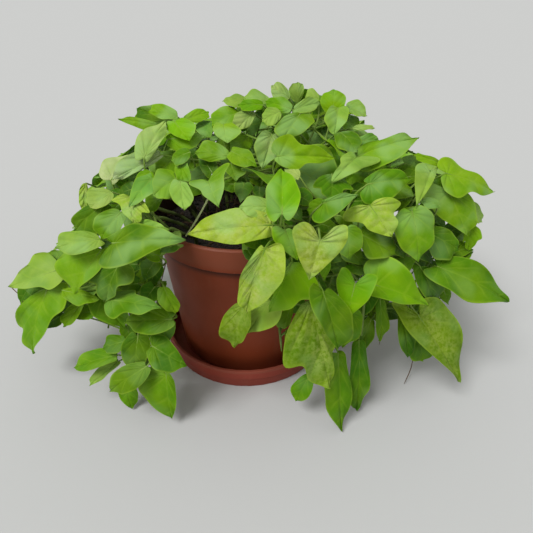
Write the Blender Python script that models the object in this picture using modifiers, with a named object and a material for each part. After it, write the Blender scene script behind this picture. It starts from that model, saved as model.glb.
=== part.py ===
"""Sweet potato vine in its terracotta-coloured pot, standing on the pot's saucer.

Metres, +Z up. The origin is the centre of the saucer's underside, on the pot's axis, and -Y is the side that the
front view looks at.
"""

import math
import random
from collections import namedtuple

import bmesh
import bpy
from mathutils import Vector
from mathutils.bvhtree import BVHTree

# Pot and saucer
GAP = 0.0003
SAUCER_FOOT_RADIUS = 0.143
SAUCER_LIP_RADIUS = 0.1475
SAUCER_HEIGHT = 0.036
SAUCER_FLOOR = 0.004
SAUCER_WALL = 0.0035
SAUCER_LIP_BAND = 0.017
POT_BASE_RADIUS = 0.117
POT_RIM_RADIUS = 0.150
POT_BAND_RADIUS = 0.147
POT_TOP = 0.253
POT_BAND_HEIGHT = 0.037
POT_NECK_RADIUS = 0.141
POT_WALL = 0.006
POT_FILLET = 0.004
POT_FOOT = SAUCER_FLOOR + GAP
DRAIN_COUNT = 5
DRAIN_RADIUS = 0.006
DRAIN_RING = 0.070
TURN_STEPS = 44

# Soil
SOIL_TOP = 0.226
SOIL_LUMP = 0.004
SOIL_RINGS = 3
SOIL_STEPS = 24
HOLE_DEPTH = 0.040

# Stems, leaf stalks and blades
STEM_RADIUS = 0.0030
STEM_END_RADIUS = 0.0017
STEM_SIDES = 4
STALK_RADIUS = 0.0012
NOTCH_WIDTH = 0.0024
STALKS_A_STRETCH = 6
STALK_SPACING = 0.0042
LONGEST_STALK = 0.16
STALK_TRIES = 150
BLADE_THICKNESS = 0.0008
FLOOR_CLEARANCE = 0.003
SEED = 7

# The front view: where the eye is, where it looks, and the pixels of its 533 by 533 frame
EYE = Vector((0.0, -0.596, 0.516))
VIEW_YAW = math.radians(2.66)
VIEW_PITCH = math.radians(27.94)
FOCAL_PIXELS = 403.6
AXIS_PIXEL = (263.2, 233.2)

FORWARD = Vector((
    math.sin(VIEW_YAW) * math.cos(VIEW_PITCH),
    math.cos(VIEW_YAW) * math.cos(VIEW_PITCH),
    -math.sin(VIEW_PITCH),
))
RIGHT = FORWARD.cross(Vector((0, 0, 1))).normalized()
UP = RIGHT.cross(FORWARD)

# A stem: its direction from the pot's axis in degrees, where it leaves the soil, and the radius and height of the
# points that it passes through on its way out
Stem = namedtuple("Stem", "azimuth root way")
STEMS = [
    Stem(2, 0.085, [(0.105, 0.290), (0.170, 0.315), (0.255, 0.270), (0.330, 0.190)]),
    Stem(22, 0.075, [(0.100, 0.290), (0.170, 0.320), (0.250, 0.270), (0.310, 0.170)]),
    Stem(44, 0.085, [(0.105, 0.290), (0.165, 0.315), (0.235, 0.270), (0.285, 0.170)]),
    Stem(66, 0.075, [(0.100, 0.290), (0.165, 0.310), (0.230, 0.260), (0.270, 0.150)]),
    Stem(88, 0.085, [(0.105, 0.285), (0.165, 0.310), (0.235, 0.270), (0.285, 0.180)]),
    Stem(110, 0.075, [(0.100, 0.290), (0.165, 0.310), (0.230, 0.255), (0.265, 0.140)]),
    Stem(132, 0.085, [(0.105, 0.285), (0.165, 0.310), (0.245, 0.265), (0.290, 0.170)]),
    Stem(152, 0.075, [(0.100, 0.275), (0.165, 0.290), (0.240, 0.240), (0.290, 0.150)]),
    Stem(170, 0.085, [(0.105, 0.272), (0.165, 0.285), (0.240, 0.230), (0.295, 0.140)]),
    Stem(188, 0.080, [(0.105, 0.268), (0.165, 0.280), (0.240, 0.225), (0.300, 0.130)]),
    Stem(203, 0.090, [(0.120, 0.262), (0.165, 0.272), (0.215, 0.200), (0.240, 0.090)]),
    Stem(215, 0.100, [(0.125, 0.258), (0.160, 0.268), (0.205, 0.180), (0.215, 0.060)]),
    Stem(227, 0.108, [(0.130, 0.252), (0.156, 0.262), (0.190, 0.180), (0.200, 0.055)]),
    Stem(284, 0.100, [(0.120, 0.258), (0.158, 0.270), (0.180, 0.210), (0.186, 0.110)]),
    Stem(297, 0.085, [(0.110, 0.275), (0.162, 0.285), (0.200, 0.210), (0.205, 0.080)]),
    Stem(311, 0.095, [(0.115, 0.280), (0.165, 0.300), (0.220, 0.240), (0.235, 0.130)]),
    Stem(325, 0.080, [(0.105, 0.285), (0.165, 0.305), (0.240, 0.250), (0.275, 0.130)]),
    Stem(342, 0.090, [(0.110, 0.290), (0.170, 0.310), (0.265, 0.250), (0.330, 0.140)]),
    Stem(10, 0.035, [(0.045, 0.290), (0.075, 0.355), (0.120, 0.385)]),
    Stem(75, 0.035, [(0.042, 0.290), (0.055, 0.350), (0.090, 0.385)]),
    Stem(140, 0.040, [(0.050, 0.290), (0.080, 0.350), (0.130, 0.370)]),
    Stem(305, 0.040, [(0.050, 0.280), (0.070, 0.330), (0.085, 0.365)]),
    Stem(340, 0.040, [(0.055, 0.290), (0.090, 0.340), (0.140, 0.370)]),
]

# Half outlines of a blade from the notch at its stalk to its tip. Across is in half widths, along is in blade
# lengths, and the widest point is where across is 1.
HALF_OUTLINES = {
    "heart": [(0.42, -0.17), (0.86, -0.08), (1.0, 0.17), (0.76, 0.50), (0.29, 0.80)],
    "arrow": [(0.34, -0.13), (0.80, -0.12), (1.0, 0.10), (0.60, 0.34), (0.50, 0.60), (0.20, 0.86)],
    "round": [(0.58, -0.16), (1.0, 0.12), (0.76, 0.51), (0.29, 0.81)],
    "slim": [(0.55, -0.04), (1.0, 0.30), (0.62, 0.70)],
}
MIDRIB_TURN = 0.42

# The leaves that the front view shows. Each is read by eye from the view: its kind, the pixel where its stalk meets
# the blade, the pixel of its tip, the widest pixel of each half, and how far it stands out towards the eye from the
# plant's general surface, in metres.
Leaf = namedtuple("Leaf", "kind base tip one other lift")
FRONT_LEAVES = [
    # left side, from the furthest out
    Leaf("arrow", (57, 270), (9, 287), (36, 254), (50, 290), 0.000),
    Leaf("arrow", (47, 289), (33, 354), (18, 329), (66, 307), 0.010),
    Leaf("heart", (101, 250), (75, 294), (58, 268), (103, 268), 0.015),
    Leaf("slim", (62, 290), (99, 299), (80, 290), (76, 305), 0.020),
    Leaf("heart", (100, 239), (56, 248), (64, 233), (80, 255), 0.025),
    Leaf("heart", (106, 203), (74, 232), (80, 213), (100, 233), 0.010),
    Leaf("heart", (121, 212), (101, 239), (96, 219), (121, 231), 0.022),
    Leaf("heart", (112, 243), (185, 239), (140, 226), (117, 269), 0.035),
    Leaf("arrow", (110, 300), (161, 308), (135, 291), (117, 320), 0.028),
    Leaf("arrow", (119, 263), (106, 301), (92, 284), (135, 281), 0.005),
    Leaf("heart", (100, 296), (124, 328), (92, 314), (126, 309), -0.015),
    Leaf("round", (80, 304), (64, 327), (64, 312), (79, 317), -0.010),
    Leaf("round", (112, 192), (90, 208), (90, 192), (107, 206), 0.020),
    Leaf("slim", (86, 183), (83, 212), (79, 195), (88, 200), 0.000),
    Leaf("round", (178, 156), (156, 173), (160, 153), (175, 173), -0.015),
    Leaf("arrow", (130, 196), (134, 223), (112, 200), (150, 212), 0.030),
    Leaf("heart", (152, 178), (129, 207), (136, 183), (156, 194), 0.020),
    Leaf("round", (176, 178), (153, 196), (158, 172), (172, 197), 0.028),
    Leaf("round", (182, 158), (184, 187), (175, 170), (191, 174), 0.030),
    Leaf("round", (180, 181), (184, 210), (169, 191), (193, 196), 0.040),
    Leaf("heart", (111, 180), (132, 155), (103, 164), (126, 173), -0.005),
    Leaf("heart", (161, 155), (112, 180), (125, 157), (138, 172), 0.012),
    Leaf("heart", (144, 158), (166, 121), (139, 138), (163, 142), 0.020),
    Leaf("heart", (170, 122), (137, 108), (158, 107), (141, 123), -0.010),
    Leaf("round", (178, 117), (148, 112), (163, 106), (166, 121), 0.012),
    Leaf("slim", (157, 125), (118, 119), (140, 119), (146, 130), 0.005),
    Leaf("round", (174, 121), (189, 141), (168, 131), (195, 125), 0.030),
    Leaf("heart", (168, 139), (205, 136), (182, 132), (186, 151), 0.015),
    Leaf("round", (184, 121), (209, 112), (194, 111), (203, 122), 0.010),
    Leaf("round", (151, 171), (137, 192), (137, 177), (151, 187), 0.005),
    Leaf("heart", (135, 226), (169, 229), (150, 220), (150, 236), 0.015),
    # crown, left of the middle
    Leaf("arrow", (208, 181), (219, 207), (190, 185), (232, 166), 0.030),
    Leaf("heart", (228, 156), (195, 153), (209, 141), (207, 161), 0.020),
    Leaf("round", (231, 151), (257, 166), (246, 150), (233, 165), 0.025),
    Leaf("round", (239, 112), (212, 127), (218, 111), (233, 128), 0.012),
    Leaf("round", (253, 112), (236, 131), (235, 115), (251, 124), 0.025),
    Leaf("round", (247, 100), (222, 101), (236, 96), (238, 109), 0.005),
    Leaf("round", (269, 101), (243, 99), (256, 93), (257, 107), 0.000),
    Leaf("round", (263, 105), (238, 105), (251, 100), (250, 113), 0.015),
    Leaf("round", (292, 109), (265, 101), (282, 98), (275, 112), 0.012),
    Leaf("round", (293, 110), (320, 103), (308, 99), (307, 114), 0.025),
    Leaf("heart", (272, 134), (262, 169), (253, 146), (281, 150), 0.025),
    Leaf("arrow", (277, 156), (335, 158), (289, 137), (298, 170), 0.035),
    Leaf("heart", (300, 114), (281, 142), (276, 126), (312, 126), 0.015),
    Leaf("heart", (282, 214), (281, 168), (264, 200), (299, 198), 0.040),
    Leaf("heart", (270, 206), (239, 207), (253, 196), (256, 218), 0.025),
    Leaf("slim", (272, 225), (187, 234), (236, 209), (245, 244), 0.010),
    # crown, right of the middle
    Leaf("round", (333, 113), (334, 89), (320, 101), (346, 101), 0.010),
    Leaf("round", (338, 108), (334, 136), (323, 118), (348, 114), 0.022),
    Leaf("slim", (353, 128), (375, 128), (364, 125), (364, 131), 0.010),
    Leaf("round", (340, 132), (357, 153), (336, 146), (358, 136), 0.015),
    Leaf("heart", (358, 156), (419, 138), (382, 141), (385, 169), 0.015),
    Leaf("arrow", (356, 157), (331, 183), (340, 158), (378, 163), 0.032),
    Leaf("arrow", (332, 174), (331, 199), (312, 195), (351, 191), 0.018),
    Leaf("heart", (323, 203), (358, 195), (339, 197), (323, 223), 0.030),
    Leaf("heart", (368, 184), (411, 179), (386, 170), (378, 205), 0.025),
    Leaf("arrow", (370, 205), (392, 237), (346, 220), (401, 203), 0.020),
    Leaf("heart", (430, 172), (416, 208), (413, 172), (438, 170), 0.035),
    Leaf("round", (440, 163), (413, 154), (426, 156), (425, 165), 0.010),
    Leaf("arrow", (446, 173), (494, 192), (453, 159), (458, 198), 0.020),
    Leaf("heart", (448, 190), (467, 236), (426, 202), (476, 208), 0.010),
    Leaf("arrow", (470, 225), (468, 250), (461, 240), (481, 237), -0.005),
    Leaf("heart", (412, 211), (418, 262), (394, 236), (435, 226), 0.018),
    Leaf("heart", (428, 232), (459, 250), (450, 231), (438, 260), -0.010),
    Leaf("heart", (437, 266), (509, 302), (472, 265), (455, 298), 0.012),
    Leaf("heart", (420, 266), (433, 303), (415, 286), (441, 290), -0.010),
    Leaf("heart", (419, 316), (459, 382), (404, 325), (451, 314), 0.015),
    Leaf("round", (416, 334), (423, 361), (406, 352), (432, 345), -0.005),
    Leaf("heart", (372, 284), (427, 305), (387, 259), (380, 300), 0.022),
    Leaf("heart", (355, 284), (346, 321), (337, 277), (376, 286), 0.035),
    Leaf("heart", (361, 234), (396, 254), (386, 227), (371, 257), -0.005),
    # over the front of the pot
    Leaf("slim", (338, 352), (341, 431), (322, 388), (350, 384), 0.004),
    Leaf("heart", (346, 228), (349, 259), (336, 246), (363, 238), 0.012),
    Leaf("heart", (320, 240), (309, 280), (293, 230), (348, 236), 0.035),
    Leaf("heart", (285, 230), (297, 260), (273, 238), (303, 243), 0.012),
    Leaf("heart", (265, 248), (246, 313), (240, 284), (284, 277), 0.015),
    Leaf("arrow", (292, 262), (269, 312), (272, 290), (317, 298), 0.002),
    Leaf("heart", (271, 301), (247, 333), (248, 313), (279, 322), -0.012),
    Leaf("heart", (244, 304), (235, 347), (221, 326), (251, 326), -0.010),
    Leaf("heart", (323, 291), (338, 350), (311, 309), (351, 322), 0.018),
    Leaf("heart", (352, 311), (342, 347), (338, 330), (360, 326), 0.002),
    Leaf("heart", (368, 294), (350, 322), (352, 301), (375, 306), -0.010),
    Leaf("arrow", (310, 300), (330, 387), (285, 366), (335, 345), 0.002),
    Leaf("slim", (310, 374), (296, 401), (293, 384), (312, 392), -0.006),
    Leaf("slim", (359, 338), (356, 410), (346, 380), (368, 374), -0.006),
    Leaf("heart", (371, 320), (359, 350), (357, 331), (372, 340), -0.014),
    Leaf("slim", (380, 299), (379, 341), (373, 318), (387, 319), -0.010),
    Leaf("heart", (402, 317), (408, 358), (397, 338), (414, 338), -0.010),
    # hanging left of the pot
    Leaf("heart", (172, 319), (125, 322), (150, 307), (150, 335), 0.005),
    Leaf("round", (164, 287), (176, 313), (158, 300), (178, 299), -0.030),
    Leaf("round", (126, 341), (103, 349), (113, 336), (118, 354), -0.005),
    Leaf("heart", (138, 335), (135, 373), (121, 352), (150, 351), 0.004),
    Leaf("slim", (118, 355), (74, 368), (92, 351), (95, 371), 0.006),
    Leaf("slim", (119, 361), (89, 386), (100, 367), (109, 374), -0.002),
    Leaf("heart", (147, 366), (110, 391), (118, 370), (135, 390), 0.012),
    Leaf("round", (126, 385), (132, 409), (118, 393), (138, 392), 0.002),
    Leaf("heart", (166, 373), (172, 419), (140, 388), (177, 395), 0.006),
    Leaf("heart", (152, 346), (187, 366), (166, 337), (159, 371), 0.014),
]

# The plant's outline in the front view, which the leaves of the sides and back stay within, and the windows through
# which the front view shows the soil, the pot and the ground
OUTLINE_PIXELS = [
    (10, 285), (32, 262), (58, 240), (76, 220), (82, 190), (104, 160), (140, 140), (150, 112), (180, 116),
    (212, 116), (226, 102), (256, 96), (272, 88), (300, 86), (345, 98), (362, 116), (378, 140), (412, 150),
    (448, 164), (480, 190), (478, 240), (482, 274), (492, 296), (450, 304), (462, 366), (440, 345), (410, 345),
    (385, 320), (368, 345), (362, 400), (340, 425), (322, 395), (290, 378), (280, 340), (268, 322), (244, 335),
    (225, 330), (240, 240), (185, 240), (170, 262), (176, 312), (182, 364), (172, 412), (140, 404), (112, 390),
    (80, 370), (106, 345), (120, 326), (64, 322), (34, 345), (22, 322),
]
WINDOWS = [
    [(152, 200), (185, 212), (196, 196), (224, 190), (240, 200), (236, 212), (190, 232), (166, 226), (154, 214)],
    [(186, 240), (238, 246), (240, 280), (232, 300), (222, 330), (246, 350), (284, 340), (282, 385), (200, 385),
     (186, 360), (172, 280)],
]

# How much nearer to the eye or further from it a front leaf may go to come clear of the rest
LIFT_STEPS = [
    0, 0.004, -0.004, 0.008, -0.008, 0.012, -0.012, 0.017, -0.017, 0.023, -0.023, 0.030, -0.030, 0.040, -0.040,
]

# How much further than its base a front leaf's tip may be from the eye, as a share of the span that it shows
STEEPEST = 0.8

# Leaves of the sides and back
SIDE_LEAF_STEPS = 9
SIDE_LEAF_TRIES = 14
SIDE_LEAF_LENGTH = (0.068, 0.100)
SIDE_STALK_LENGTH = (0.045, 0.095)


def clear_scene():
    for item in list(bpy.data.objects):
        bpy.data.objects.remove(item, do_unlink=True)


def new_collection(name):
    group = bpy.data.collections.new(name)
    bpy.context.scene.collection.children.link(group)
    return group


def material(name, colour, roughness):
    made = bpy.data.materials.new(name)
    made.use_nodes = True
    shader = made.node_tree.nodes["Principled BSDF"]
    shader.inputs["Base Color"].default_value = (*colour, 1.0)
    shader.inputs["Roughness"].default_value = roughness
    shader.inputs["Metallic"].default_value = 0.0
    return made


def mesh_object(name, vertices, faces, group):
    mesh = bpy.data.meshes.new(name)
    mesh.from_pydata([tuple(v) for v in vertices], [], faces)
    made = bpy.data.objects.new(name, mesh)
    group.objects.link(made)
    return made


def apply_modifiers(item):
    graph = bpy.context.evaluated_depsgraph_get()
    result = bpy.data.meshes.new_from_object(item.evaluated_get(graph))
    item.modifiers.clear()
    item.data = result


def turned(name, profile, group, finish):
    """A shape turned about Z from a closed profile of (radius, height), top first down its outer side."""
    mesh = bpy.data.meshes.new(name)
    bm = bmesh.new()
    points = [bm.verts.new((radius, 0.0, height)) for radius, height in profile]
    for index, point in enumerate(points[:-1]):
        bm.edges.new((point, points[index + 1]))
    bm.to_mesh(mesh)
    bm.free()
    made = bpy.data.objects.new(name, mesh)
    group.objects.link(made)
    screw = made.modifiers.new("turn", "SCREW")
    screw.axis = "Z"
    screw.steps = TURN_STEPS
    screw.render_steps = TURN_STEPS
    screw.use_merge_vertices = True
    screw.merge_threshold = 0.00005
    made.data.materials.append(finish)
    return made


def make_saucer(group):
    """The saucer: a flat floor, a flared wall and a thicker band round its lip."""
    lip_start = SAUCER_HEIGHT - SAUCER_LIP_BAND
    slope = (SAUCER_LIP_RADIUS - 0.002 - SAUCER_FOOT_RADIUS) / lip_start
    inner_lip = SAUCER_LIP_RADIUS - SAUCER_WALL - 0.002
    profile = [
        (0.0, SAUCER_FLOOR),
        (SAUCER_FOOT_RADIUS - SAUCER_WALL - 0.004, SAUCER_FLOOR),
        (SAUCER_FOOT_RADIUS - SAUCER_WALL + 0.001, SAUCER_FLOOR + 0.003),
        (inner_lip, SAUCER_HEIGHT - 0.003),
        (inner_lip + 0.001, SAUCER_HEIGHT),
        (SAUCER_LIP_RADIUS - 0.001, SAUCER_HEIGHT),
        (SAUCER_LIP_RADIUS, SAUCER_HEIGHT - 0.0015),
        (SAUCER_LIP_RADIUS - 0.0005, lip_start + 0.001),
        (SAUCER_FOOT_RADIUS + slope * lip_start, lip_start),
        (SAUCER_FOOT_RADIUS + slope * 0.003, 0.003),
        (SAUCER_FOOT_RADIUS - 0.001, 0.0),
        (0.0, 0.0),
    ]
    saucer = turned("saucer", profile, group, material("saucer plastic", (0.19, 0.055, 0.035), 0.5))
    flats = saucer.modifiers.new("flats", "DECIMATE")
    flats.decimate_type = "DISSOLVE"
    flats.angle_limit = math.radians(0.5)
    return saucer


def pot_inner_radius(height):
    """The pot's inner radius at a height above the ground, along its straight tapered wall."""
    share = (height - POT_FOOT) / (POT_TOP - POT_BAND_HEIGHT - POT_FOOT)
    return POT_BASE_RADIUS + (POT_NECK_RADIUS - POT_BASE_RADIUS) * share - POT_WALL


def make_pot(group, cutters):
    """The pot: a tapered wall, a rim band that stands proud of it, a flat base and drainage holes."""
    band_foot = POT_TOP - POT_BAND_HEIGHT
    inner_floor = POT_FOOT + POT_WALL
    profile = [
        (0.0, inner_floor),
        (pot_inner_radius(inner_floor) - POT_FILLET, inner_floor),
        (pot_inner_radius(inner_floor + POT_FILLET), inner_floor + POT_FILLET),
        (pot_inner_radius(band_foot), band_foot),
        (POT_RIM_RADIUS - POT_WALL - 0.001, POT_TOP - 0.002),
        (POT_RIM_RADIUS - POT_WALL + 0.001, POT_TOP),
        (POT_RIM_RADIUS - 0.002, POT_TOP),
        (POT_RIM_RADIUS, POT_TOP - 0.002),
        (POT_BAND_RADIUS, band_foot + 0.001),
        (POT_BAND_RADIUS - 0.001, band_foot),
        (POT_NECK_RADIUS, band_foot),
        (POT_BASE_RADIUS + 0.001, POT_FOOT + 0.003),
        (POT_BASE_RADIUS - 0.002, POT_FOOT),
        (0.0, POT_FOOT),
    ]
    pot = turned("pot", profile, group, material("pot plastic", (0.145, 0.043, 0.022), 0.55))
    holes = []
    for index in range(DRAIN_COUNT):
        angle = math.tau * index / DRAIN_COUNT
        bm = bmesh.new()
        bmesh.ops.create_cone(
            bm, cap_ends=True, segments=12, radius1=DRAIN_RADIUS, radius2=DRAIN_RADIUS, depth=POT_WALL * 3
        )
        spot = Vector((DRAIN_RING * math.cos(angle), DRAIN_RING * math.sin(angle), POT_FOOT + POT_WALL / 2))
        bmesh.ops.translate(bm, vec=spot, verts=bm.verts)
        holes.append(bm_object(f"drain_cutter_{index + 1}", bm, cutters))
    cut(pot, holes)
    return pot


def bm_object(name, bm, group):
    mesh = bpy.data.meshes.new(name)
    bm.to_mesh(mesh)
    bm.free()
    made = bpy.data.objects.new(name, mesh)
    made.hide_render = True
    made.display_type = "WIRE"
    group.objects.link(made)
    return made


def cut(item, cutters):
    for cutter in cutters:
        difference = item.modifiers.new("cut", "BOOLEAN")
        difference.operation = "DIFFERENCE"
        difference.solver = "EXACT"
        difference.object = cutter


def soil_radius(height):
    """How far the potting mix reaches at a height: a gap short of the flats of the pot's turned inner wall."""
    return pot_inner_radius(height) * math.cos(math.pi / TURN_STEPS) - GAP


def soil_height(x, y):
    """The lumpy top of the potting mix."""
    waves = math.sin(61 * x + 1.3) * math.cos(53 * y - 0.4) + 0.6 * math.sin(127 * x + 97 * y)
    return SOIL_TOP + SOIL_LUMP * 0.5 * waves


def make_soil(group, cutters, stems):
    """The potting mix: it fills the pot to below the rim, with a plain hole for each stem."""
    bm = bmesh.new()
    floor = POT_FOOT + POT_WALL
    rings = []
    for step in range(SOIL_RINGS + 1):
        radius = soil_radius(SOIL_TOP - SOIL_LUMP) * step / SOIL_RINGS
        if step == 0:
            rings.append([bm.verts.new((0.0, 0.0, soil_height(0.0, 0.0)))])
            continue
        ring = []
        for turn in range(SOIL_STEPS):
            angle = math.tau * turn / SOIL_STEPS
            x = radius * math.cos(angle)
            y = radius * math.sin(angle)
            ring.append(bm.verts.new((x, y, soil_height(x, y))))
        rings.append(ring)
    for radius, height in [
        (soil_radius(floor + POT_FILLET), floor + POT_FILLET + GAP),
        (soil_radius(floor) - POT_FILLET, floor + GAP),
    ]:
        foot = []
        for turn in range(SOIL_STEPS):
            angle = math.tau * turn / SOIL_STEPS
            foot.append(bm.verts.new((radius * math.cos(angle), radius * math.sin(angle), height)))
        rings.append(foot)
    for turn in range(SOIL_STEPS):
        following = (turn + 1) % SOIL_STEPS
        bm.faces.new((rings[0][0], rings[1][turn], rings[1][following]))
        for inner, outer in zip(rings[1:], rings[2:]):
            bm.faces.new((inner[turn], outer[turn], outer[following]))
            bm.faces.new((inner[turn], outer[following], inner[following]))
    bm.faces.new(list(reversed(foot)))
    mesh = bpy.data.meshes.new("soil")
    bm.to_mesh(mesh)
    bm.free()
    soil = bpy.data.objects.new("soil", mesh)
    group.objects.link(soil)
    mesh.materials.append(material("potting mix", (0.012, 0.009, 0.007), 0.95))
    holes = []
    for index, stem in enumerate(stems):
        spot = stem.path[0]
        bm = bmesh.new()
        radius = STEM_RADIUS + 0.0006
        bmesh.ops.create_cone(
            bm, cap_ends=True, segments=6, radius1=radius, radius2=radius, depth=HOLE_DEPTH * 2
        )
        bmesh.ops.translate(bm, vec=(spot.x, spot.y, spot.z - GAP + HOLE_DEPTH), verts=bm.verts)
        holes.append(bm_object(f"stem_cutter_{index + 1}", bm, cutters))
    cut(soil, holes)
    return soil


# Layout of the leaves


def sight(pixel):
    """The direction from the eye through a pixel of the front view."""
    across = (pixel[0] - AXIS_PIXEL[0]) / FOCAL_PIXELS
    above = (AXIS_PIXEL[1] - pixel[1]) / FOCAL_PIXELS
    return FORWARD + RIGHT * across + UP * above


def pixel_of(point):
    """The pixel where the front view shows a point."""
    offset = point - EYE
    depth = offset.dot(FORWARD)
    return (
        AXIS_PIXEL[0] + FOCAL_PIXELS * offset.dot(RIGHT) / depth,
        AXIS_PIXEL[1] - FOCAL_PIXELS * offset.dot(UP) / depth,
    )


def smooth(value):
    held = min(max(value, 0.0), 1.0)
    return held * held * (3 - 2 * held)


def surface_y(pixel):
    """How far towards the eye the plant's general surface stands at a pixel: furthest over the pot's front."""
    middle = 1 - ((pixel[0] - 258) / 255) ** 2
    descent = smooth((pixel[1] - 85) / 165)
    return 0.03 - 0.07 * descent - 0.17 * middle * descent


def seen_point(pixel, lift):
    """The point of the plant's surface that a pixel shows, raised towards the eye, and never under the ground."""
    ray = sight(pixel)
    share = (surface_y(pixel) - lift - EYE.y) / ray.y
    point = EYE + ray * share
    if point.z < FLOOR_CLEARANCE:
        point = EYE + ray * ((FLOOR_CLEARANCE - EYE.z) / ray.z)
    return point


def inside(pixel, polygon):
    """Whether a pixel is inside a polygon of pixels."""
    found = False
    for index, (x1, y1) in enumerate(polygon):
        x2, y2 = polygon[index - 1]
        if (y1 > pixel[1]) != (y2 > pixel[1]):
            if pixel[0] < (x2 - x1) * (pixel[1] - y1) / (y2 - y1) + x1:
                found = not found
    return found


def in_window(pixel):
    return any(inside(pixel, window) for window in WINDOWS)


class Blade:
    """A leaf's blade: its frame, its two half widths and the form of its surface."""

    def __init__(self, kind, base, tip, normal, halves, fold, arch, wave, phase):
        self.kind = kind
        self.base = base
        self.length = (tip - base).length
        self.along = (tip - base).normalized()
        self.normal = (normal - self.along * normal.dot(self.along)).normalized()
        self.across = self.along.cross(self.normal)
        self.halves = halves
        self.fold = fold
        self.arch = arch
        self.wave = wave
        self.phase = phase

    def point(self, across, along, side):
        """A point of the blade. Across is in half widths of a side and along is in blade lengths."""
        half = self.halves[0] if side > 0 else self.halves[1]
        width = across * half[0]
        share = along + (half[1] - widest_along(self.kind)) * across
        rise = self.arch * self.length * 4 * share * (1 - share)
        rise += self.fold * width
        rise += self.wave * self.length * across * math.sin(7 * share + self.phase + side)
        place = self.base + self.along * (share * self.length)
        place += self.across * (side * width) + self.normal * rise
        place.z = max(place.z, FLOOR_CLEARANCE)
        return place

    def surface(self):
        """The open blade, split into triangles from the middle of its midrib."""
        half = HALF_OUTLINES[self.kind]
        notch = self.point(0, 0, 1)
        vertices = [self.point(0, MIDRIB_TURN, 1), notch + self.across * (NOTCH_WIDTH / 2)]
        vertices += [self.point(across, along, 1) for across, along in half]
        vertices.append(self.point(0, 1, 1))
        vertices += [self.point(across, along, -1) for across, along in reversed(half)]
        vertices.append(notch - self.across * (NOTCH_WIDTH / 2))
        count = len(vertices) - 1
        faces = [(0, 1 + index, 1 + (index + 1) % count) for index in range(count)]
        return vertices, faces


def widest_along(kind):
    return next(along for across, along in HALF_OUTLINES[kind] if across == 1.0)


def both_faces(vertices, faces, thickness):
    """An open surface's two faces, half the thickness to either side of it."""
    normals = [Vector() for _ in vertices]
    for face in faces:
        first, second, third = (vertices[index] for index in face)
        lean = (second - first).cross(third - first)
        for index in face:
            normals[index] += lean
    shifts = [normal.normalized() * (thickness / 2) for normal in normals]
    upper = [point + shift for point, shift in zip(vertices, shifts)]
    lower = [point - shift for point, shift in zip(vertices, shifts)]
    count = len(vertices)
    return upper + lower, list(faces) + [tuple(count + index for index in reversed(face)) for face in faces]


def tube(path, radii, sides):
    """A closed tube round a path, with rings that keep their direction along it."""
    vertices = []
    faces = []
    guide = Vector((0.31, 0.17, 1.0)).normalized()
    for index, point in enumerate(path):
        before = path[max(index - 1, 0)]
        after = path[min(index + 1, len(path) - 1)]
        forward = (after - before).normalized()
        first = (guide - forward * guide.dot(forward)).normalized()
        second = forward.cross(first)
        guide = first
        for side in range(sides):
            angle = math.tau * side / sides
            vertices.append(point + (first * math.cos(angle) + second * math.sin(angle)) * radii[index])
    for ring in range(len(path) - 1):
        for side in range(sides):
            following = (side + 1) % sides
            corner = ring * sides
            faces.append((corner + side, corner + following, corner + sides + following))
            faces.append((corner + side, corner + sides + following, corner + sides + side))
    for side in range(1, sides - 1):
        faces.append((0, side + 1, side))
        last = (len(path) - 1) * sides
        faces.append((last, last + side, last + side + 1))
    return vertices, faces


def through(points, steps):
    """A smooth path through points, with a number of steps between each two."""
    path = []
    padded = [points[0] * 2 - points[1], *points, points[-1] * 2 - points[-2]]
    for index in range(len(points) - 1):
        before, start, end, after = padded[index:index + 4]
        for step in range(steps):
            share = step / steps
            path.append(
                0.5 * (
                    2 * start + (end - before) * share
                    + (2 * before - 5 * start + 4 * end - after) * share ** 2
                    + (3 * start - before - 3 * end + after) * share ** 3
                )
            )
    path.append(points[-1].copy())
    return path


class Vine:
    """One leafy stem as it is laid out: its path and the leaves that it carries."""

    def __init__(self, number, stem, luck):
        self.number = number
        self.leaves = []
        points = []
        root = (stem.root, SOIL_TOP - HOLE_DEPTH + 2 * GAP)
        for index, (radius, height) in enumerate([root, (stem.root, SOIL_TOP + 0.012), *stem.way]):
            turn = math.radians(stem.azimuth + (luck.uniform(-3, 3) if index > 1 else 0))
            points.append(Vector((radius * math.cos(turn), radius * math.sin(turn), height)))
        self.path = [points[0], *through(points[1:], 2)]
        last = len(self.path) - 1
        self.radii = [STEM_RADIUS + (STEM_END_RADIUS - STEM_RADIUS) * index / last for index in range(last + 1)]
        guard = [radius + 0.0006 for radius in self.radii]
        self.stem_tree = BVHTree.FromPolygons(*tube(self.path, guard, STEM_SIDES))
        self.leaf_tree = None
        self.vertices = []
        self.faces = []
        self.free = []
        for index in range(3, last):
            for step in range(STALKS_A_STRETCH):
                self.free.append(self.path[index].lerp(self.path[index + 1], step / STALKS_A_STRETCH))
        self.free.append(self.path[last].copy())

    def add(self, leaf):
        """Take in a leaf, whose stalk then has its place on the stem to itself."""
        self.leaves.append(leaf)
        for vertices, faces in leaf.guard:
            count = len(self.vertices)
            self.vertices = self.vertices + vertices
            self.faces = self.faces + [tuple(count + index for index in face) for face in faces]
        self.leaf_tree = BVHTree.FromPolygons(self.vertices, self.faces)
        self.free = [spot for spot in self.free if (spot - leaf.stalk[0]).length > STALK_SPACING]

    def heading(self, spot):
        """The stem's direction at the point of its path nearest to a spot."""
        index = min(range(1, len(self.path)), key=lambda place: (self.path[place] - spot).length)
        return (self.path[index] - self.path[index - 1]).normalized()


class PlacedLeaf:
    """A blade with its stalk. The guard is a slightly thicker copy that nothing else may touch."""

    def __init__(self, blade, stalk):
        self.blade = blade
        self.stalk = stalk
        self.guard = [both_faces(*blade.surface(), 0.0022), stalk_guard(stalk)]


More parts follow.
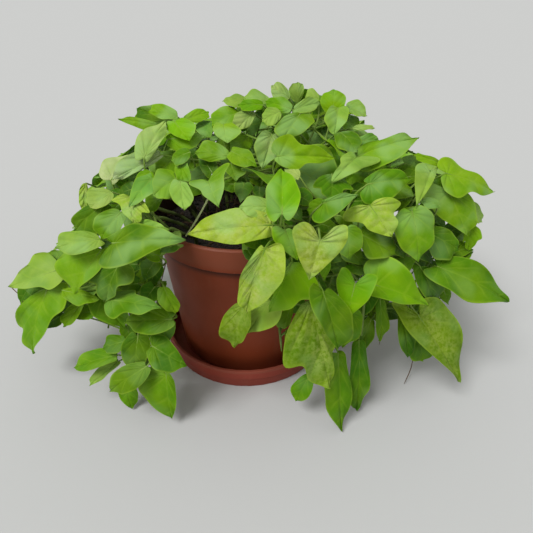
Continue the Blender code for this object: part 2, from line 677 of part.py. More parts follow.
def stalk_path(start, inward, blade):
    """A leaf stalk: it leaves the stem's middle, bows up and ends at the blade's notch."""
    end = blade.point(0, 0, 1)
    reach = (end - start).length
    bow = end - blade.normal * (0.30 * reach) - blade.along * (0.18 * reach) + inward * (0.02 * reach)
    middle = (start + 2 * bow + end) / 4
    return [start, middle, end]


def stalk_guard(stalk):
    """The space that a stalk keeps to itself, short of the blade that it carries."""
    short = [stalk[0], stalk[1], stalk[1].lerp(stalk[2], 0.96)]
    return tube(short, [STALK_RADIUS + 0.0010] * 3, 4)


def held_tip(base, tip):
    """A tip that stays on its line of sight, and recedes or comes forward no more than a real leaf would."""
    near = (base - EYE).length
    sight_line = (tip - EYE).normalized()
    span = (sight_line * near - (base - EYE)).length
    further = min(max((tip - EYE).length - near, -STEEPEST * span), STEEPEST * span)
    return EYE + sight_line * (near + further)


def blade_seen(leaf, lift, luck):
    """The blade of a front leaf: it fills the same pixels as in the front view, whatever its tilt."""
    base = seen_point(leaf.base, lift)
    tip = held_tip(base, seen_point(leaf.tip, lift))
    outward = Vector((base.x, base.y, 0.0)).normalized()
    to_eye = (EYE - base).normalized()
    jitter = Vector((luck.uniform(-1, 1), luck.uniform(-1, 1), luck.uniform(-1, 1)))
    normal = to_eye * 0.48 + Vector((0, 0, 0.46)) + outward * 0.24 + jitter * 0.18
    along = (tip - base).normalized()
    normal = (normal - along * normal.dot(along)).normalized()
    across = along.cross(normal)
    length = (tip - base).length
    halves = {}
    for pixel in (leaf.one, leaf.other):
        ray = sight(pixel)
        spot = EYE + ray * ((base - EYE).dot(normal) / ray.dot(normal))
        sideways = (spot - base).dot(across)
        side = 0 if sideways > 0 else 1
        width = min(max(abs(sideways), 0.10 * length), 0.95 * length)
        share = min(max((spot - base).dot(along) / length, -0.45), 0.80)
        halves[side] = (width, share)
    for side in (0, 1):
        halves.setdefault(side, (0.12 * length, 0.2))
    fold = luck.uniform(-0.10, 0.22)
    arch = luck.uniform(0.02, 0.09)
    wave = luck.uniform(0.010, 0.030)
    return Blade(leaf.kind, base, tip, normal, (halves[0], halves[1]), fold, arch, wave, luck.uniform(0, 6))


def touches(vertices, faces, solids, vines, own=None):
    """Whether a surface meets the pot, the saucer, a leaf or a stem. A stalk may meet its own stem."""
    tree = BVHTree.FromPolygons(vertices, faces)
    for solid in solids:
        if tree.overlap(solid):
            return True
    for vine in vines:
        if vine.leaf_tree and tree.overlap(vine.leaf_tree):
            return True
        if vine is not own and tree.overlap(vine.stem_tree):
            return True
    return False


def blade_clear(blade, vines, solids):
    return not touches(*both_faces(*blade.surface(), 0.0022), solids, vines)


def stalk_clear(stalk, vines, own, solids):
    if min(point.z for point in stalk) < FLOOR_CLEARANCE:
        return False
    for start, end in zip(stalk, stalk[1:]):
        for step in range(4):
            if in_window(pixel_of(start.lerp(end, step / 4))):
                return False
    return not touches(*stalk_guard(stalk), solids, vines, own)


def attach(blade, vines, solids):
    """The stalk with the best length and way from some stem to the blade, clear of every other leaf and stem."""
    ways = []
    for vine in vines:
        for start in vine.free:
            reach = (blade.base - start).length
            behind = (blade.base - start).dot(blade.normal)
            if reach > LONGEST_STALK:
                continue
            cost = abs(reach - 0.060) + max(0.0, 0.01 - behind) * 1.5 + len(vine.leaves) * 0.0010
            ways.append((cost, vine.number, start))
    ways.sort(key=lambda way: way[:2])
    for cost, number, start in ways[:STALK_TRIES]:
        vine = vines[number]
        stalk = stalk_path(start, -vine.heading(start), blade)
        if stalk_clear(stalk, vines, vine, solids):
            return vine, stalk
    return None, None


def place_front_leaves(vines, solids):
    """Each front leaf takes the nearest place along its line of sight where it is clear of the rest."""
    for number, leaf in enumerate(FRONT_LEAVES):
        for step in LIFT_STEPS:
            luck = random.Random(SEED * 1000 + number)
            blade = blade_seen(leaf, leaf.lift + step, luck)
            if not blade_clear(blade, vines, solids):
                continue
            vine, stalk = attach(blade, vines, solids)
            if vine:
                vine.add(PlacedLeaf(blade, stalk))
                break


def hides_front(blade, front):
    """Whether a blade stands before a front leaf, or shows past the plant's outline or in a window."""
    vertices, _ = blade.surface()
    for point in vertices:
        pixel = pixel_of(point)
        if not inside(pixel, OUTLINE_PIXELS):
            return True
        if in_window(pixel):
            return True
        away = (point - EYE).normalized()
        if front.ray_cast(point, away, 0.20)[0]:
            return True
    return False


def side_blade(start, heading, side, luck):
    """A blade on a stalk that rises from the stem to one side, with its face turned up to the light."""
    outward = Vector((start.x, start.y, 0.0)).normalized()
    sideways = outward.cross(Vector((0, 0, 1)))
    lean = side * luck.uniform(0.15, 1.0)
    way = outward * luck.uniform(0.3, 0.9) + sideways * lean + Vector((0, 0, luck.uniform(0.2, 1.0))) + heading * 0.3
    base = start + way.normalized() * luck.uniform(*SIDE_STALK_LENGTH)
    run = outward + sideways * lean * luck.uniform(0.2, 1.2) + Vector((0, 0, luck.uniform(-0.9, 0.15)))
    length = luck.uniform(*SIDE_LEAF_LENGTH)
    jitter = Vector((luck.uniform(-1, 1), luck.uniform(-1, 1), luck.uniform(-1, 1)))
    normal = Vector((0, 0, 0.8)) + outward * 0.6 + jitter * 0.3
    kind = "arrow" if luck.random() < 0.25 else "round"
    half = length * luck.uniform(0.42, 0.54)
    halves = ((half, widest_along(kind)), (half * luck.uniform(0.9, 1.1), widest_along(kind)))
    fold = luck.uniform(-0.12, 0.25)
    arch = luck.uniform(0.03, 0.10)
    wave = luck.uniform(0.01, 0.03)
    tip = base + run.normalized() * length
    return Blade(kind, base, tip, normal, halves, fold, arch, wave, luck.uniform(0, 6))


def place_side_leaves(vines, solids):
    """Leaves all along each stem, wherever there is room for them."""
    vertices = []
    faces = []
    for vine in vines:
        for leaf in vine.leaves:
            spots, flats = leaf.blade.surface()
            count = len(vertices)
            vertices += spots
            faces += [tuple(count + index for index in flat) for flat in flats]
    front = BVHTree.FromPolygons(vertices, faces)
    for step in range(SIDE_LEAF_STEPS):
        for vine in vines:
            luck = random.Random(SEED * 7919 + vine.number * 131 + step)
            for attempt in range(SIDE_LEAF_TRIES):
                start = luck.choice(vine.free)
                heading = vine.heading(start)
                blade = side_blade(start, heading, 1 if (step + attempt) % 2 else -1, luck)
                if min((blade.base + blade.along * blade.length).z, blade.base.z) < FLOOR_CLEARANCE + 0.004:
                    continue
                if hides_front(blade, front) or not blade_clear(blade, vines, solids):
                    continue
                stalk = stalk_path(start, -heading, blade)
                if stalk_clear(stalk, vines, vine, solids):
                    vine.add(PlacedLeaf(blade, stalk))
                    break


def tree_of(item):
    graph = bpy.context.evaluated_depsgraph_get()
    return BVHTree.FromObject(item, graph)


def draw_out_stalk(item, leaf):
    """Pull the stalk out of the blade's wall at its notch, ring by ring, down to the middle of the stem."""
    bm = bmesh.new()
    bm.from_mesh(item.data)
    notch = leaf.stalk[2]
    walls = [face for face in bm.faces if len(face.verts) == 4]
    wall = min(walls, key=lambda face: (face.calc_center_median() - notch).length)
    corners = []
    for vert in wall.verts:
        offset = vert.co - notch
        corners.append((
            math.copysign(1, offset.dot(leaf.blade.across)),
            math.copysign(1, offset.dot(leaf.blade.normal)),
        ))
    headings = [leaf.stalk[0] - notch, leaf.stalk[0] - leaf.stalk[1]]
    for spot, heading in zip([leaf.stalk[1], leaf.stalk[0]], headings):
        forward = heading.normalized()
        sideways = (leaf.blade.across - forward * leaf.blade.across.dot(forward)).normalized()
        above = forward.cross(sideways)
        wall = bmesh.ops.extrude_discrete_faces(bm, faces=[wall])["faces"][0]
        for vert, (across, up) in zip(wall.verts, corners):
            vert.co = spot + (sideways * across + above * up) * STALK_RADIUS * 0.8
    bm.to_mesh(item.data)
    bm.free()


def make_vine(vine, group):
    """One leafy stem in one solid: its stem and its stalked leaves joined by a union."""
    finish = material(f"vine {vine.number + 1}", (0.16, 0.32, 0.025), 0.5)
    name = f"vine_{vine.number + 1:02d}"
    parts = new_collection(f"{name} leaves")
    stem = mesh_object(name, *tube(vine.path, vine.radii, STEM_SIDES), group)
    for index, leaf in enumerate(vine.leaves):
        blade = mesh_object(f"{name} leaf {index + 1}", *leaf.blade.surface(), parts)
        wall = blade.modifiers.new("thickness", "SOLIDIFY")
        wall.thickness = BLADE_THICKNESS
        wall.offset = 0.0
        apply_modifiers(blade)
        draw_out_stalk(blade, leaf)
    union = stem.modifiers.new("union", "BOOLEAN")
    union.operation = "UNION"
    union.operand_type = "COLLECTION"
    union.collection = parts
    union.solver = "MANIFOLD"
    apply_modifiers(stem)
    for item in list(parts.objects):
        bpy.data.objects.remove(item, do_unlink=True)
    bpy.data.collections.remove(parts)
    stem.data.materials.clear()
    stem.data.materials.append(finish)
    return stem


def main():
    clear_scene()
    group = new_collection("sweet potato vine")
    cutters = new_collection("cutters")
    luck = random.Random(SEED)
    vines = [Vine(number, stem, luck) for number, stem in enumerate(STEMS)]
    saucer = make_saucer(group)
    pot = make_pot(group, cutters)
    make_soil(group, cutters, vines)
    solids = [tree_of(saucer), tree_of(pot)]
    place_front_leaves(vines, solids)
    place_side_leaves(vines, solids)
    for vine in vines:
        make_vine(vine, group)


main()
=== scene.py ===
"""Looks of a sweet potato vine in its terracotta-coloured pot: fine leaves and stems, and each piece's finish.

Metres, +Z up, in the part's own frame. The origin is the middle of the saucer's underside, and -Y is front.
"""

import math
import random
from collections import namedtuple

import bmesh
import bpy
from bpy.props import FloatProperty, FloatVectorProperty, IntProperty, PointerProperty
from bpy.types import Operator, Panel, PropertyGroup
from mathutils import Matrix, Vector
from mathutils.bvhtree import BVHTree


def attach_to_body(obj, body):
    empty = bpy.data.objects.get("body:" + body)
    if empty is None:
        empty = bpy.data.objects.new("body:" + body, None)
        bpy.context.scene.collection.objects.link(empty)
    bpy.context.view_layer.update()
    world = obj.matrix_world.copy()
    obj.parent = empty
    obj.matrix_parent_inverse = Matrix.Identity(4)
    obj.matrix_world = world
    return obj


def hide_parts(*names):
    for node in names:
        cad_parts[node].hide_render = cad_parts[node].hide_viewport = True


bl_info = {
    "name": "Sweet potato vine in a pot",
    "version": (1, 0, 0),
    "blender": (4, 5, 0),
    "location": "3D View > Sidebar > Vine",
    "description": "Dresses the potted vine with fine leaves, stems and finishes",
    "category": "Object",
}

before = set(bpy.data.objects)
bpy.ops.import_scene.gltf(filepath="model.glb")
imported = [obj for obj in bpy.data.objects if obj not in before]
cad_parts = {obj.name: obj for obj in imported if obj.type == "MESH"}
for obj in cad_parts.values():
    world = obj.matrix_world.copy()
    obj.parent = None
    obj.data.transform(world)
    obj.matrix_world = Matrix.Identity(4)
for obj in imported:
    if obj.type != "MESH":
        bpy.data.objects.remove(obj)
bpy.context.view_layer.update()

# Heights and radii of the pot and its soil, as the solids have them
POT_TOP = 0.253
SAUCER_HEIGHT = 0.036
SOIL_TOP = 0.226
SOIL_LUMP = 0.004
SOIL_RADIUS = 0.133
GAP = 0.0003
HOLE_DEPTH = 0.040

# Stems, leaf stalks and blades
STEM_RADIUS = 0.0030
STEM_END_RADIUS = 0.0017
STEM_SIDES = 4
STALK_RADIUS = 0.0012
NOTCH_WIDTH = 0.0024
STALKS_A_STRETCH = 6
STALK_SPACING = 0.0042
LONGEST_STALK = 0.16
STALK_TRIES = 150
FLOOR_CLEARANCE = 0.003
SEED = 7

# What keeps clear of the rest: a blade's full thickness, and what a stalk's and a stem's radius gain
BLADE_GUARD = 0.0022
STALK_GUARD = 0.0010
STEM_GUARD = 0.0006

# The front view: where the eye is, where it looks, and the pixels of its 533 by 533 frame
FRAME_PIXELS = 533
EYE = Vector((0.0, -0.596, 0.516))
VIEW_YAW = math.radians(2.66)
VIEW_PITCH = math.radians(27.94)
FOCAL_PIXELS = 403.6
AXIS_PIXEL = (263.2, 233.2)

FORWARD = Vector((
    math.sin(VIEW_YAW) * math.cos(VIEW_PITCH),
    math.cos(VIEW_YAW) * math.cos(VIEW_PITCH),
    -math.sin(VIEW_PITCH),
))
RIGHT = FORWARD.cross(Vector((0, 0, 1))).normalized()
UP = RIGHT.cross(FORWARD)

# A stem: its direction from the pot's axis in degrees, where it leaves the soil, and the radius and height of
# the points that it passes through on its way out
Stem = namedtuple("Stem", "azimuth root way")
STEMS = [
    Stem(2, 0.085, [(0.105, 0.290), (0.170, 0.315), (0.255, 0.270), (0.330, 0.190)]),
    Stem(22, 0.075, [(0.100, 0.290), (0.170, 0.320), (0.250, 0.270), (0.310, 0.170)]),
    Stem(44, 0.085, [(0.105, 0.290), (0.165, 0.315), (0.235, 0.270), (0.285, 0.170)]),
    Stem(66, 0.075, [(0.100, 0.290), (0.165, 0.310), (0.230, 0.260), (0.270, 0.150)]),
    Stem(88, 0.085, [(0.105, 0.285), (0.165, 0.310), (0.235, 0.270), (0.285, 0.180)]),
    Stem(110, 0.075, [(0.100, 0.290), (0.165, 0.310), (0.230, 0.255), (0.265, 0.140)]),
    Stem(132, 0.085, [(0.105, 0.285), (0.165, 0.310), (0.245, 0.265), (0.290, 0.170)]),
    Stem(152, 0.075, [(0.100, 0.275), (0.165, 0.290), (0.240, 0.240), (0.290, 0.150)]),
    Stem(170, 0.085, [(0.105, 0.272), (0.165, 0.285), (0.240, 0.230), (0.295, 0.140)]),
    Stem(188, 0.080, [(0.105, 0.268), (0.165, 0.280), (0.240, 0.225), (0.300, 0.130)]),
    Stem(203, 0.090, [(0.120, 0.262), (0.165, 0.272), (0.215, 0.200), (0.240, 0.090)]),
    Stem(215, 0.100, [(0.125, 0.258), (0.160, 0.268), (0.205, 0.180), (0.215, 0.060)]),
    Stem(227, 0.108, [(0.130, 0.252), (0.156, 0.262), (0.190, 0.180), (0.200, 0.055)]),
    Stem(284, 0.100, [(0.120, 0.258), (0.158, 0.270), (0.180, 0.210), (0.186, 0.110)]),
    Stem(297, 0.085, [(0.110, 0.275), (0.162, 0.285), (0.200, 0.210), (0.205, 0.080)]),
    Stem(311, 0.095, [(0.115, 0.280), (0.165, 0.300), (0.220, 0.240), (0.235, 0.130)]),
    Stem(325, 0.080, [(0.105, 0.285), (0.165, 0.305), (0.240, 0.250), (0.275, 0.130)]),
    Stem(342, 0.090, [(0.110, 0.290), (0.170, 0.310), (0.265, 0.250), (0.330, 0.140)]),
    Stem(10, 0.035, [(0.045, 0.290), (0.075, 0.355), (0.120, 0.385)]),
    Stem(75, 0.035, [(0.042, 0.290), (0.055, 0.350), (0.090, 0.385)]),
    Stem(140, 0.040, [(0.050, 0.290), (0.080, 0.350), (0.130, 0.370)]),
    Stem(305, 0.040, [(0.050, 0.280), (0.070, 0.330), (0.085, 0.365)]),
    Stem(340, 0.040, [(0.055, 0.290), (0.090, 0.340), (0.140, 0.370)]),
]

# Half outlines of a blade from the notch at its stalk to its tip. Across is in half widths, along is in blade
# lengths, and the widest point is where across is 1.
HALF_OUTLINES = {
    "heart": [(0.42, -0.17), (0.86, -0.08), (1.0, 0.17), (0.76, 0.50), (0.29, 0.80)],
    "arrow": [(0.34, -0.13), (0.80, -0.12), (1.0, 0.10), (0.60, 0.34), (0.50, 0.60), (0.20, 0.86)],
    "round": [(0.58, -0.16), (1.0, 0.12), (0.76, 0.51), (0.29, 0.81)],
    "slim": [(0.55, -0.04), (1.0, 0.30), (0.62, 0.70)],
}
MIDRIB_TURN = 0.42

# The leaves that the front view shows. Each is read from the view: its kind, its tone, the pixel where
# its stalk meets the blade, the pixel of its tip, the widest pixel of each half, and how far it stands out
# towards the eye from the plant's general surface, in metres.
Leaf = namedtuple("Leaf", "kind tone base tip one other lift")
FRONT_LEAVES = [
    # left side, from the furthest out
    Leaf("arrow", "light", (57, 270), (9, 287), (36, 254), (50, 290), 0.000),
    Leaf("arrow", "lime", (47, 289), (33, 354), (18, 329), (66, 307), 0.010),
    Leaf("heart", "lime", (101, 250), (75, 294), (58, 268), (103, 268), 0.015),
    Leaf("slim", "lime", (62, 290), (99, 299), (80, 290), (76, 305), 0.020),
    Leaf("heart", "light", (100, 239), (56, 248), (64, 233), (80, 255), 0.025),
    Leaf("heart", "dark", (106, 203), (74, 232), (80, 213), (100, 233), 0.010),
    Leaf("heart", "mid", (121, 212), (101, 239), (96, 219), (121, 231), 0.022),
    Leaf("heart", "dark", (112, 243), (185, 239), (140, 226), (117, 269), 0.035),
    Leaf("arrow", "mid", (110, 300), (161, 308), (135, 291), (117, 320), 0.028),
    Leaf("arrow", "dark", (119, 263), (106, 301), (92, 284), (135, 281), 0.005),
    Leaf("heart", "mid", (100, 296), (124, 328), (92, 314), (126, 309), -0.015),
    Leaf("round", "mid", (80, 304), (64, 327), (64, 312), (79, 317), -0.010),
    Leaf("round", "pale", (112, 192), (90, 208), (90, 192), (107, 206), 0.020),
    Leaf("slim", "yellow", (86, 183), (83, 212), (79, 195), (88, 200), 0.000),
    Leaf("round", "mid", (178, 156), (156, 173), (160, 153), (175, 173), -0.015),
    Leaf("arrow", "yellow", (130, 196), (134, 223), (112, 200), (150, 212), 0.030),
    Leaf("heart", "teal", (152, 178), (129, 207), (136, 183), (156, 194), 0.020),
    Leaf("round", "lime", (176, 178), (153, 196), (158, 172), (172, 197), 0.028),
    Leaf("round", "lime", (182, 158), (184, 187), (175, 170), (191, 174), 0.030),
    Leaf("round", "light", (180, 181), (184, 210), (169, 191), (193, 196), 0.040),
    Leaf("heart", "whitish", (111, 180), (132, 155), (103, 164), (126, 173), -0.005),
    Leaf("heart", "whitish", (161, 155), (112, 180), (125, 157), (138, 172), 0.012),
    Leaf("heart", "pale", (144, 158), (166, 121), (139, 138), (163, 142), 0.020),
    Leaf("heart", "dark", (170, 122), (137, 108), (158, 107), (141, 123), -0.010),
    Leaf("round", "lime", (178, 117), (148, 112), (163, 106), (166, 121), 0.012),
    Leaf("slim", "lime", (157, 125), (118, 119), (140, 119), (146, 130), 0.005),
    Leaf("round", "bright", (174, 121), (189, 141), (168, 131), (195, 125), 0.030),
    Leaf("heart", "bright", (168, 139), (205, 136), (182, 132), (186, 151), 0.015),
    Leaf("round", "lime", (184, 121), (209, 112), (194, 111), (203, 122), 0.010),
    Leaf("round", "lime", (151, 171), (137, 192), (137, 177), (151, 187), 0.005),
    Leaf("heart", "light", (135, 226), (169, 229), (150, 220), (150, 236), 0.015),
    # crown, left of the middle
    Leaf("arrow", "lime", (208, 181), (219, 207), (190, 185), (232, 166), 0.030),
    Leaf("heart", "lime", (228, 156), (195, 153), (209, 141), (207, 161), 0.020),
    Leaf("round", "lime", (231, 151), (257, 166), (246, 150), (233, 165), 0.025),
    Leaf("round", "lime", (239, 112), (212, 127), (218, 111), (233, 128), 0.012),
    Leaf("round", "pale", (253, 112), (236, 131), (235, 115), (251, 124), 0.025),
    Leaf("round", "light", (247, 100), (222, 101), (236, 96), (238, 109), 0.005),
    Leaf("round", "light", (269, 101), (243, 99), (256, 93), (257, 107), 0.000),
    Leaf("round", "bright", (263, 105), (238, 105), (251, 100), (250, 113), 0.015),
    Leaf("round", "bright", (292, 109), (265, 101), (282, 98), (275, 112), 0.012),
    Leaf("round", "light", (293, 110), (320, 103), (308, 99), (307, 114), 0.025),
    Leaf("heart", "pale", (272, 134), (262, 169), (253, 146), (281, 150), 0.025),
    Leaf("arrow", "lime", (277, 156), (335, 158), (289, 137), (298, 170), 0.035),
    Leaf("heart", "lime", (300, 114), (281, 142), (276, 126), (312, 126), 0.015),
    Leaf("heart", "bright", (282, 214), (281, 168), (264, 200), (299, 198), 0.040),
    Leaf("heart", "light", (270, 206), (239, 207), (253, 196), (256, 218), 0.025),
    Leaf("slim", "yellow", (272, 225), (187, 234), (236, 209), (245, 244), 0.010),
    # crown, right of the middle
    Leaf("round", "bright", (333, 113), (334, 89), (320, 101), (346, 101), 0.010),
    Leaf("round", "light", (338, 108), (334, 136), (323, 118), (348, 114), 0.022),
    Leaf("slim", "pale", (353, 128), (375, 128), (364, 125), (364, 131), 0.010),
    Leaf("round", "mid", (340, 132), (357, 153), (336, 146), (358, 136), 0.015),
    Leaf("heart", "lime", (358, 156), (419, 138), (382, 141), (385, 169), 0.015),
    Leaf("arrow", "light", (356, 157), (331, 183), (340, 158), (378, 163), 0.032),
    Leaf("arrow", "mid", (332, 174), (331, 199), (312, 195), (351, 191), 0.018),
    Leaf("heart", "mid", (323, 203), (358, 195), (339, 197), (323, 223), 0.030),
    Leaf("heart", "mid", (368, 184), (411, 179), (386, 170), (378, 205), 0.025),
    Leaf("arrow", "yellow", (370, 205), (392, 237), (346, 220), (401, 203), 0.020),
    Leaf("heart", "light", (430, 172), (416, 208), (413, 172), (438, 170), 0.035),
    Leaf("round", "lime", (440, 163), (413, 154), (426, 156), (425, 165), 0.010),
    Leaf("arrow", "lime", (446, 173), (494, 192), (453, 159), (458, 198), 0.020),
    Leaf("heart", "lime", (448, 190), (467, 236), (426, 202), (476, 208), 0.010),
    Leaf("arrow", "lime", (470, 225), (468, 250), (461, 240), (481, 237), -0.005),
    Leaf("heart", "lime", (412, 211), (418, 262), (394, 236), (435, 226), 0.018),
    Leaf("heart", "dark", (428, 232), (459, 250), (450, 231), (438, 260), -0.010),
    Leaf("heart", "mid", (437, 266), (509, 302), (472, 265), (455, 298), 0.012),
    Leaf("heart", "dark", (420, 266), (433, 303), (415, 286), (441, 290), -0.010),
    Leaf("heart", "olive", (419, 316), (459, 382), (404, 325), (451, 314), 0.015),
    Leaf("round", "mid", (416, 334), (423, 361), (406, 352), (432, 345), -0.005),
    Leaf("heart", "bright", (372, 284), (427, 305), (387, 259), (380, 300), 0.022),
    Leaf("heart", "bright", (355, 284), (346, 321), (337, 277), (376, 286), 0.035),
    Leaf("heart", "mid", (361, 234), (396, 254), (386, 227), (371, 257), -0.005),
    # over the front of the pot
    Leaf("slim", "mid", (338, 352), (341, 431), (322, 388), (350, 384), 0.004),
    Leaf("heart", "lime", (346, 228), (349, 259), (336, 246), (363, 238), 0.012),
    Leaf("heart", "yellow", (320, 240), (309, 280), (293, 230), (348, 236), 0.035),
    Leaf("heart", "bright", (285, 230), (297, 260), (273, 238), (303, 243), 0.012),
    Leaf("heart", "yellow", (265, 248), (246, 313), (240, 284), (284, 277), 0.015),
    Leaf("arrow", "bright", (292, 262), (269, 312), (272, 290), (317, 298), 0.002),
    Leaf("heart", "light", (271, 301), (247, 333), (248, 313), (279, 322), -0.012),
    Leaf("heart", "olive", (244, 304), (235, 347), (221, 326), (251, 326), -0.010),
    Leaf("heart", "mid", (323, 291), (338, 350), (311, 309), (351, 322), 0.018),
    Leaf("heart", "mid", (352, 311), (342, 347), (338, 330), (360, 326), 0.002),
    Leaf("heart", "dark", (368, 294), (350, 322), (352, 301), (375, 306), -0.010),
    Leaf("arrow", "olive", (310, 300), (330, 387), (285, 366), (335, 345), 0.002),
    Leaf("slim", "mid", (310, 374), (296, 401), (293, 384), (312, 392), -0.006),
    Leaf("slim", "dark", (359, 338), (356, 410), (346, 380), (368, 374), -0.006),
    Leaf("heart", "dark", (371, 320), (359, 350), (357, 331), (372, 340), -0.014),
    Leaf("slim", "dark", (380, 299), (379, 341), (373, 318), (387, 319), -0.010),
    Leaf("heart", "dark", (402, 317), (408, 358), (397, 338), (414, 338), -0.010),
    # hanging left of the pot
    Leaf("heart", "dark", (172, 319), (125, 322), (150, 307), (150, 335), 0.005),
    Leaf("round", "lime", (164, 287), (176, 313), (158, 300), (178, 299), -0.030),
    Leaf("round", "dark", (126, 341), (103, 349), (113, 336), (118, 354), -0.005),
    Leaf("heart", "dark", (138, 335), (135, 373), (121, 352), (150, 351), 0.004),
    Leaf("slim", "mid", (118, 355), (74, 368), (92, 351), (95, 371), 0.006),
    Leaf("slim", "light", (119, 361), (89, 386), (100, 367), (109, 374), -0.002),
    Leaf("heart", "dark", (147, 366), (110, 391), (118, 370), (135, 390), 0.012),
    Leaf("round", "mid", (126, 385), (132, 409), (118, 393), (138, 392), 0.002),
    Leaf("heart", "mid", (166, 373), (172, 419), (140, 388), (177, 395), 0.006),
    Leaf("heart", "dark", (152, 346), (187, 366), (166, 337), (159, 371), 0.014),
]

# Small leaves that only the looks have
SMALL_LEAVES = [
    Leaf("round", "mid", (190, 152), (171, 160), (180, 149), (182, 165), 0.000),
    Leaf("round", "mid", (160, 196), (148, 212), (148, 198), (160, 208), -0.005),
    Leaf("round", "dark", (231, 163), (236, 181), (226, 170), (247, 168), 0.008),
    Leaf("round", "lime", (223, 124), (227, 143), (213, 130), (241, 131), 0.022),
    Leaf("round", "teal", (211, 121), (205, 138), (195, 125), (213, 132), 0.005),
    Leaf("round", "pale", (290, 98), (271, 86), (283, 84), (276, 99), 0.000),
    Leaf("round", "light", (297, 102), (298, 82), (289, 90), (304, 90), -0.005),
    Leaf("round", "light", (319, 101), (305, 97), (312, 89), (310, 104), 0.010),
    Leaf("round", "light", (280, 111), (262, 121), (267, 109), (275, 125), 0.018),
    Leaf("round", "lime", (249, 136), (231, 151), (233, 138), (249, 150), 0.000),
    Leaf("round", "whitish", (270, 176), (267, 195), (252, 180), (275, 185), 0.020),
    Leaf("round", "pale", (300, 177), (284, 169), (294, 167), (290, 178), 0.015),
    Leaf("round", "light", (346, 107), (367, 116), (357, 103), (352, 117), 0.000),
    Leaf("round", "bright", (344, 117), (358, 131), (356, 118), (344, 131), 0.010),
    Leaf("round", "teal", (358, 141), (379, 140), (369, 134), (366, 152), 0.005),
    Leaf("round", "lime", (326, 204), (307, 210), (315, 199), (319, 221), 0.022),
    Leaf("round", "mid", (439, 205), (420, 202), (430, 199), (430, 211), 0.020),
    Leaf("round", "light", (469, 204), (482, 222), (478, 207), (470, 220), -0.010),
    Leaf("round", "mid", (291, 307), (283, 329), (277, 318), (292, 319), -0.022),
]

# The plant's outline in the front view, which the leaves of the sides and back stay within, and the windows
# through which the front view shows the soil, the pot and the ground
OUTLINE_PIXELS = [
    (10, 285), (32, 262), (58, 240), (76, 220), (82, 190), (104, 160), (140, 140), (150, 112), (180, 116),
    (212, 116), (226, 102), (256, 96), (272, 88), (300, 86), (345, 98), (362, 116), (378, 140), (412, 150),
    (448, 164), (480, 190), (478, 240), (482, 274), (492, 296), (450, 304), (462, 366), (440, 345), (410, 345),
    (385, 320), (368, 345), (362, 400), (340, 425), (322, 395), (290, 378), (280, 340), (268, 322), (244, 335),
    (225, 330), (240, 240), (185, 240), (170, 262), (176, 312), (182, 364), (172, 412), (140, 404), (112, 390),
    (80, 370), (106, 345), (120, 326), (64, 322), (34, 345), (22, 322),
]
WINDOWS = [
    [
        (152, 200), (185, 212), (196, 196), (224, 190), (240, 200), (236, 212), (190, 232), (166, 226), (154, 214),
    ],
    [
        (186, 240), (238, 246), (240, 280), (232, 300), (222, 330), (246, 350), (284, 340), (282, 385),
        (200, 385), (186, 360), (172, 280),
    ],
]

# How much nearer to the eye or further from it a front leaf may go to come clear of the rest
LIFTS = (0.004, 0.008, 0.012, 0.017, 0.023, 0.030, 0.040)
LIFT_STEPS = [0, *(sign * step for step in LIFTS for sign in (1, -1))]

# How much further than its base a front leaf's tip may be from the eye, as a share of the span that it shows
STEEPEST = 0.8

# Leaves of the sides and back
SIDE_LEAF_STEPS = 9
SIDE_LEAF_TRIES = 14
SIDE_LEAF_LENGTH = (0.068, 0.100)
SIDE_STALK_LENGTH = (0.045, 0.095)
SIDE_TONES = ["lime", "lime", "bright", "mid", "mid", "light"]
YOUNG_LEAF_TRIES = 10
YOUNG_GROWTHS = [(0.50, 0.9), (0.55, 0.2), (0.42, 0.5)]
TIP_GROWTH = (0.26, 0.5)
TIP_LEAF_TRIES = 6
LOWEST_SIDE_LEAF = FLOOR_CLEARANCE + 0.004
LOWEST_TIP_LEAF = 0.02

# Where the numbers of each group of leaves start, from which their draws come
SMALL_LEAF_NUMBER = 500
SIDE_LEAF_NUMBER = 7919
YOUNG_LEAF_NUMBER = 6007

# Small leaves that close gaps: the pixels between two looks, the leaves' length in pixels, and how far back
# they stand
PLANT_MIDDLE = (263, 170)
GAP_TURNS = 2
GAP_STEP = 7
GAP_ROWS = range(94, 345, GAP_STEP)
GAP_COLUMNS = range(16, 500, GAP_STEP)
GAP_LEAF_PIXELS = (15, 25)
GAP_LIFTS = [-0.012, -0.024, -0.038, -0.055, -0.075, -0.10]
# Mostly dark: partly the deeper leaves' own green and partly painted shade of the plant's interior, where the gaps
# show through
GAP_SHADE_TONES = ["mid", "dark", "dark", "dark"]

# Fine meshes: steps between two points of an outline and columns to each side of a midrib, for blades over a
# length and for smaller ones, steps of a stem, side veins to each side, how far the lowest ones fan out of the
# stalk's end, and how they slant
FINE_BLADE = (5, 6)
SMALL_BLADE = (2, 2)
FINE_FROM = 0.052
STEM_STEPS = 6
STEM_ROUND = 10
STALK_ROUND = 6
LEAF_CREASE = math.radians(50)
SIDE_VEINS = 7
FAN_REACH = 0.08
VEIN_SLANT = 0.42

# Leaf tones: the colour, and the share of yellow mottling. A leaf's tone is partly its own colour and partly
# painted light and shade: darker tones for leaves that the key light strikes fully, paler ones for leaves in shade
# and for sheen on the crown.
TONES = {
    "lime": (0.180, 0.375, 0.004, 0.10),
    "bright": (0.205, 0.450, 0.003, 0.00),
    "mid": (0.102, 0.265, 0.002, 0.05),
    "dark": (0.055, 0.172, 0.002, 0.05),
    "light": (0.290, 0.475, 0.075, 0.15),
    "pale": (0.380, 0.530, 0.150, 0.40),
    "whitish": (0.560, 0.670, 0.340, 0.30),
    "teal": (0.175, 0.385, 0.055, 0.00),
    "yellow": (0.360, 0.510, 0.040, 0.95),
    "olive": (0.145, 0.262, 0.003, 0.50),
}

# Turned solids: how near two points are merged, below which angle faces are one flat, and above which an edge
# is sharp
MERGE_DISTANCE = 0.00001
FLAT_ANGLE = math.radians(1)
EDGE_ANGLE = math.radians(40)
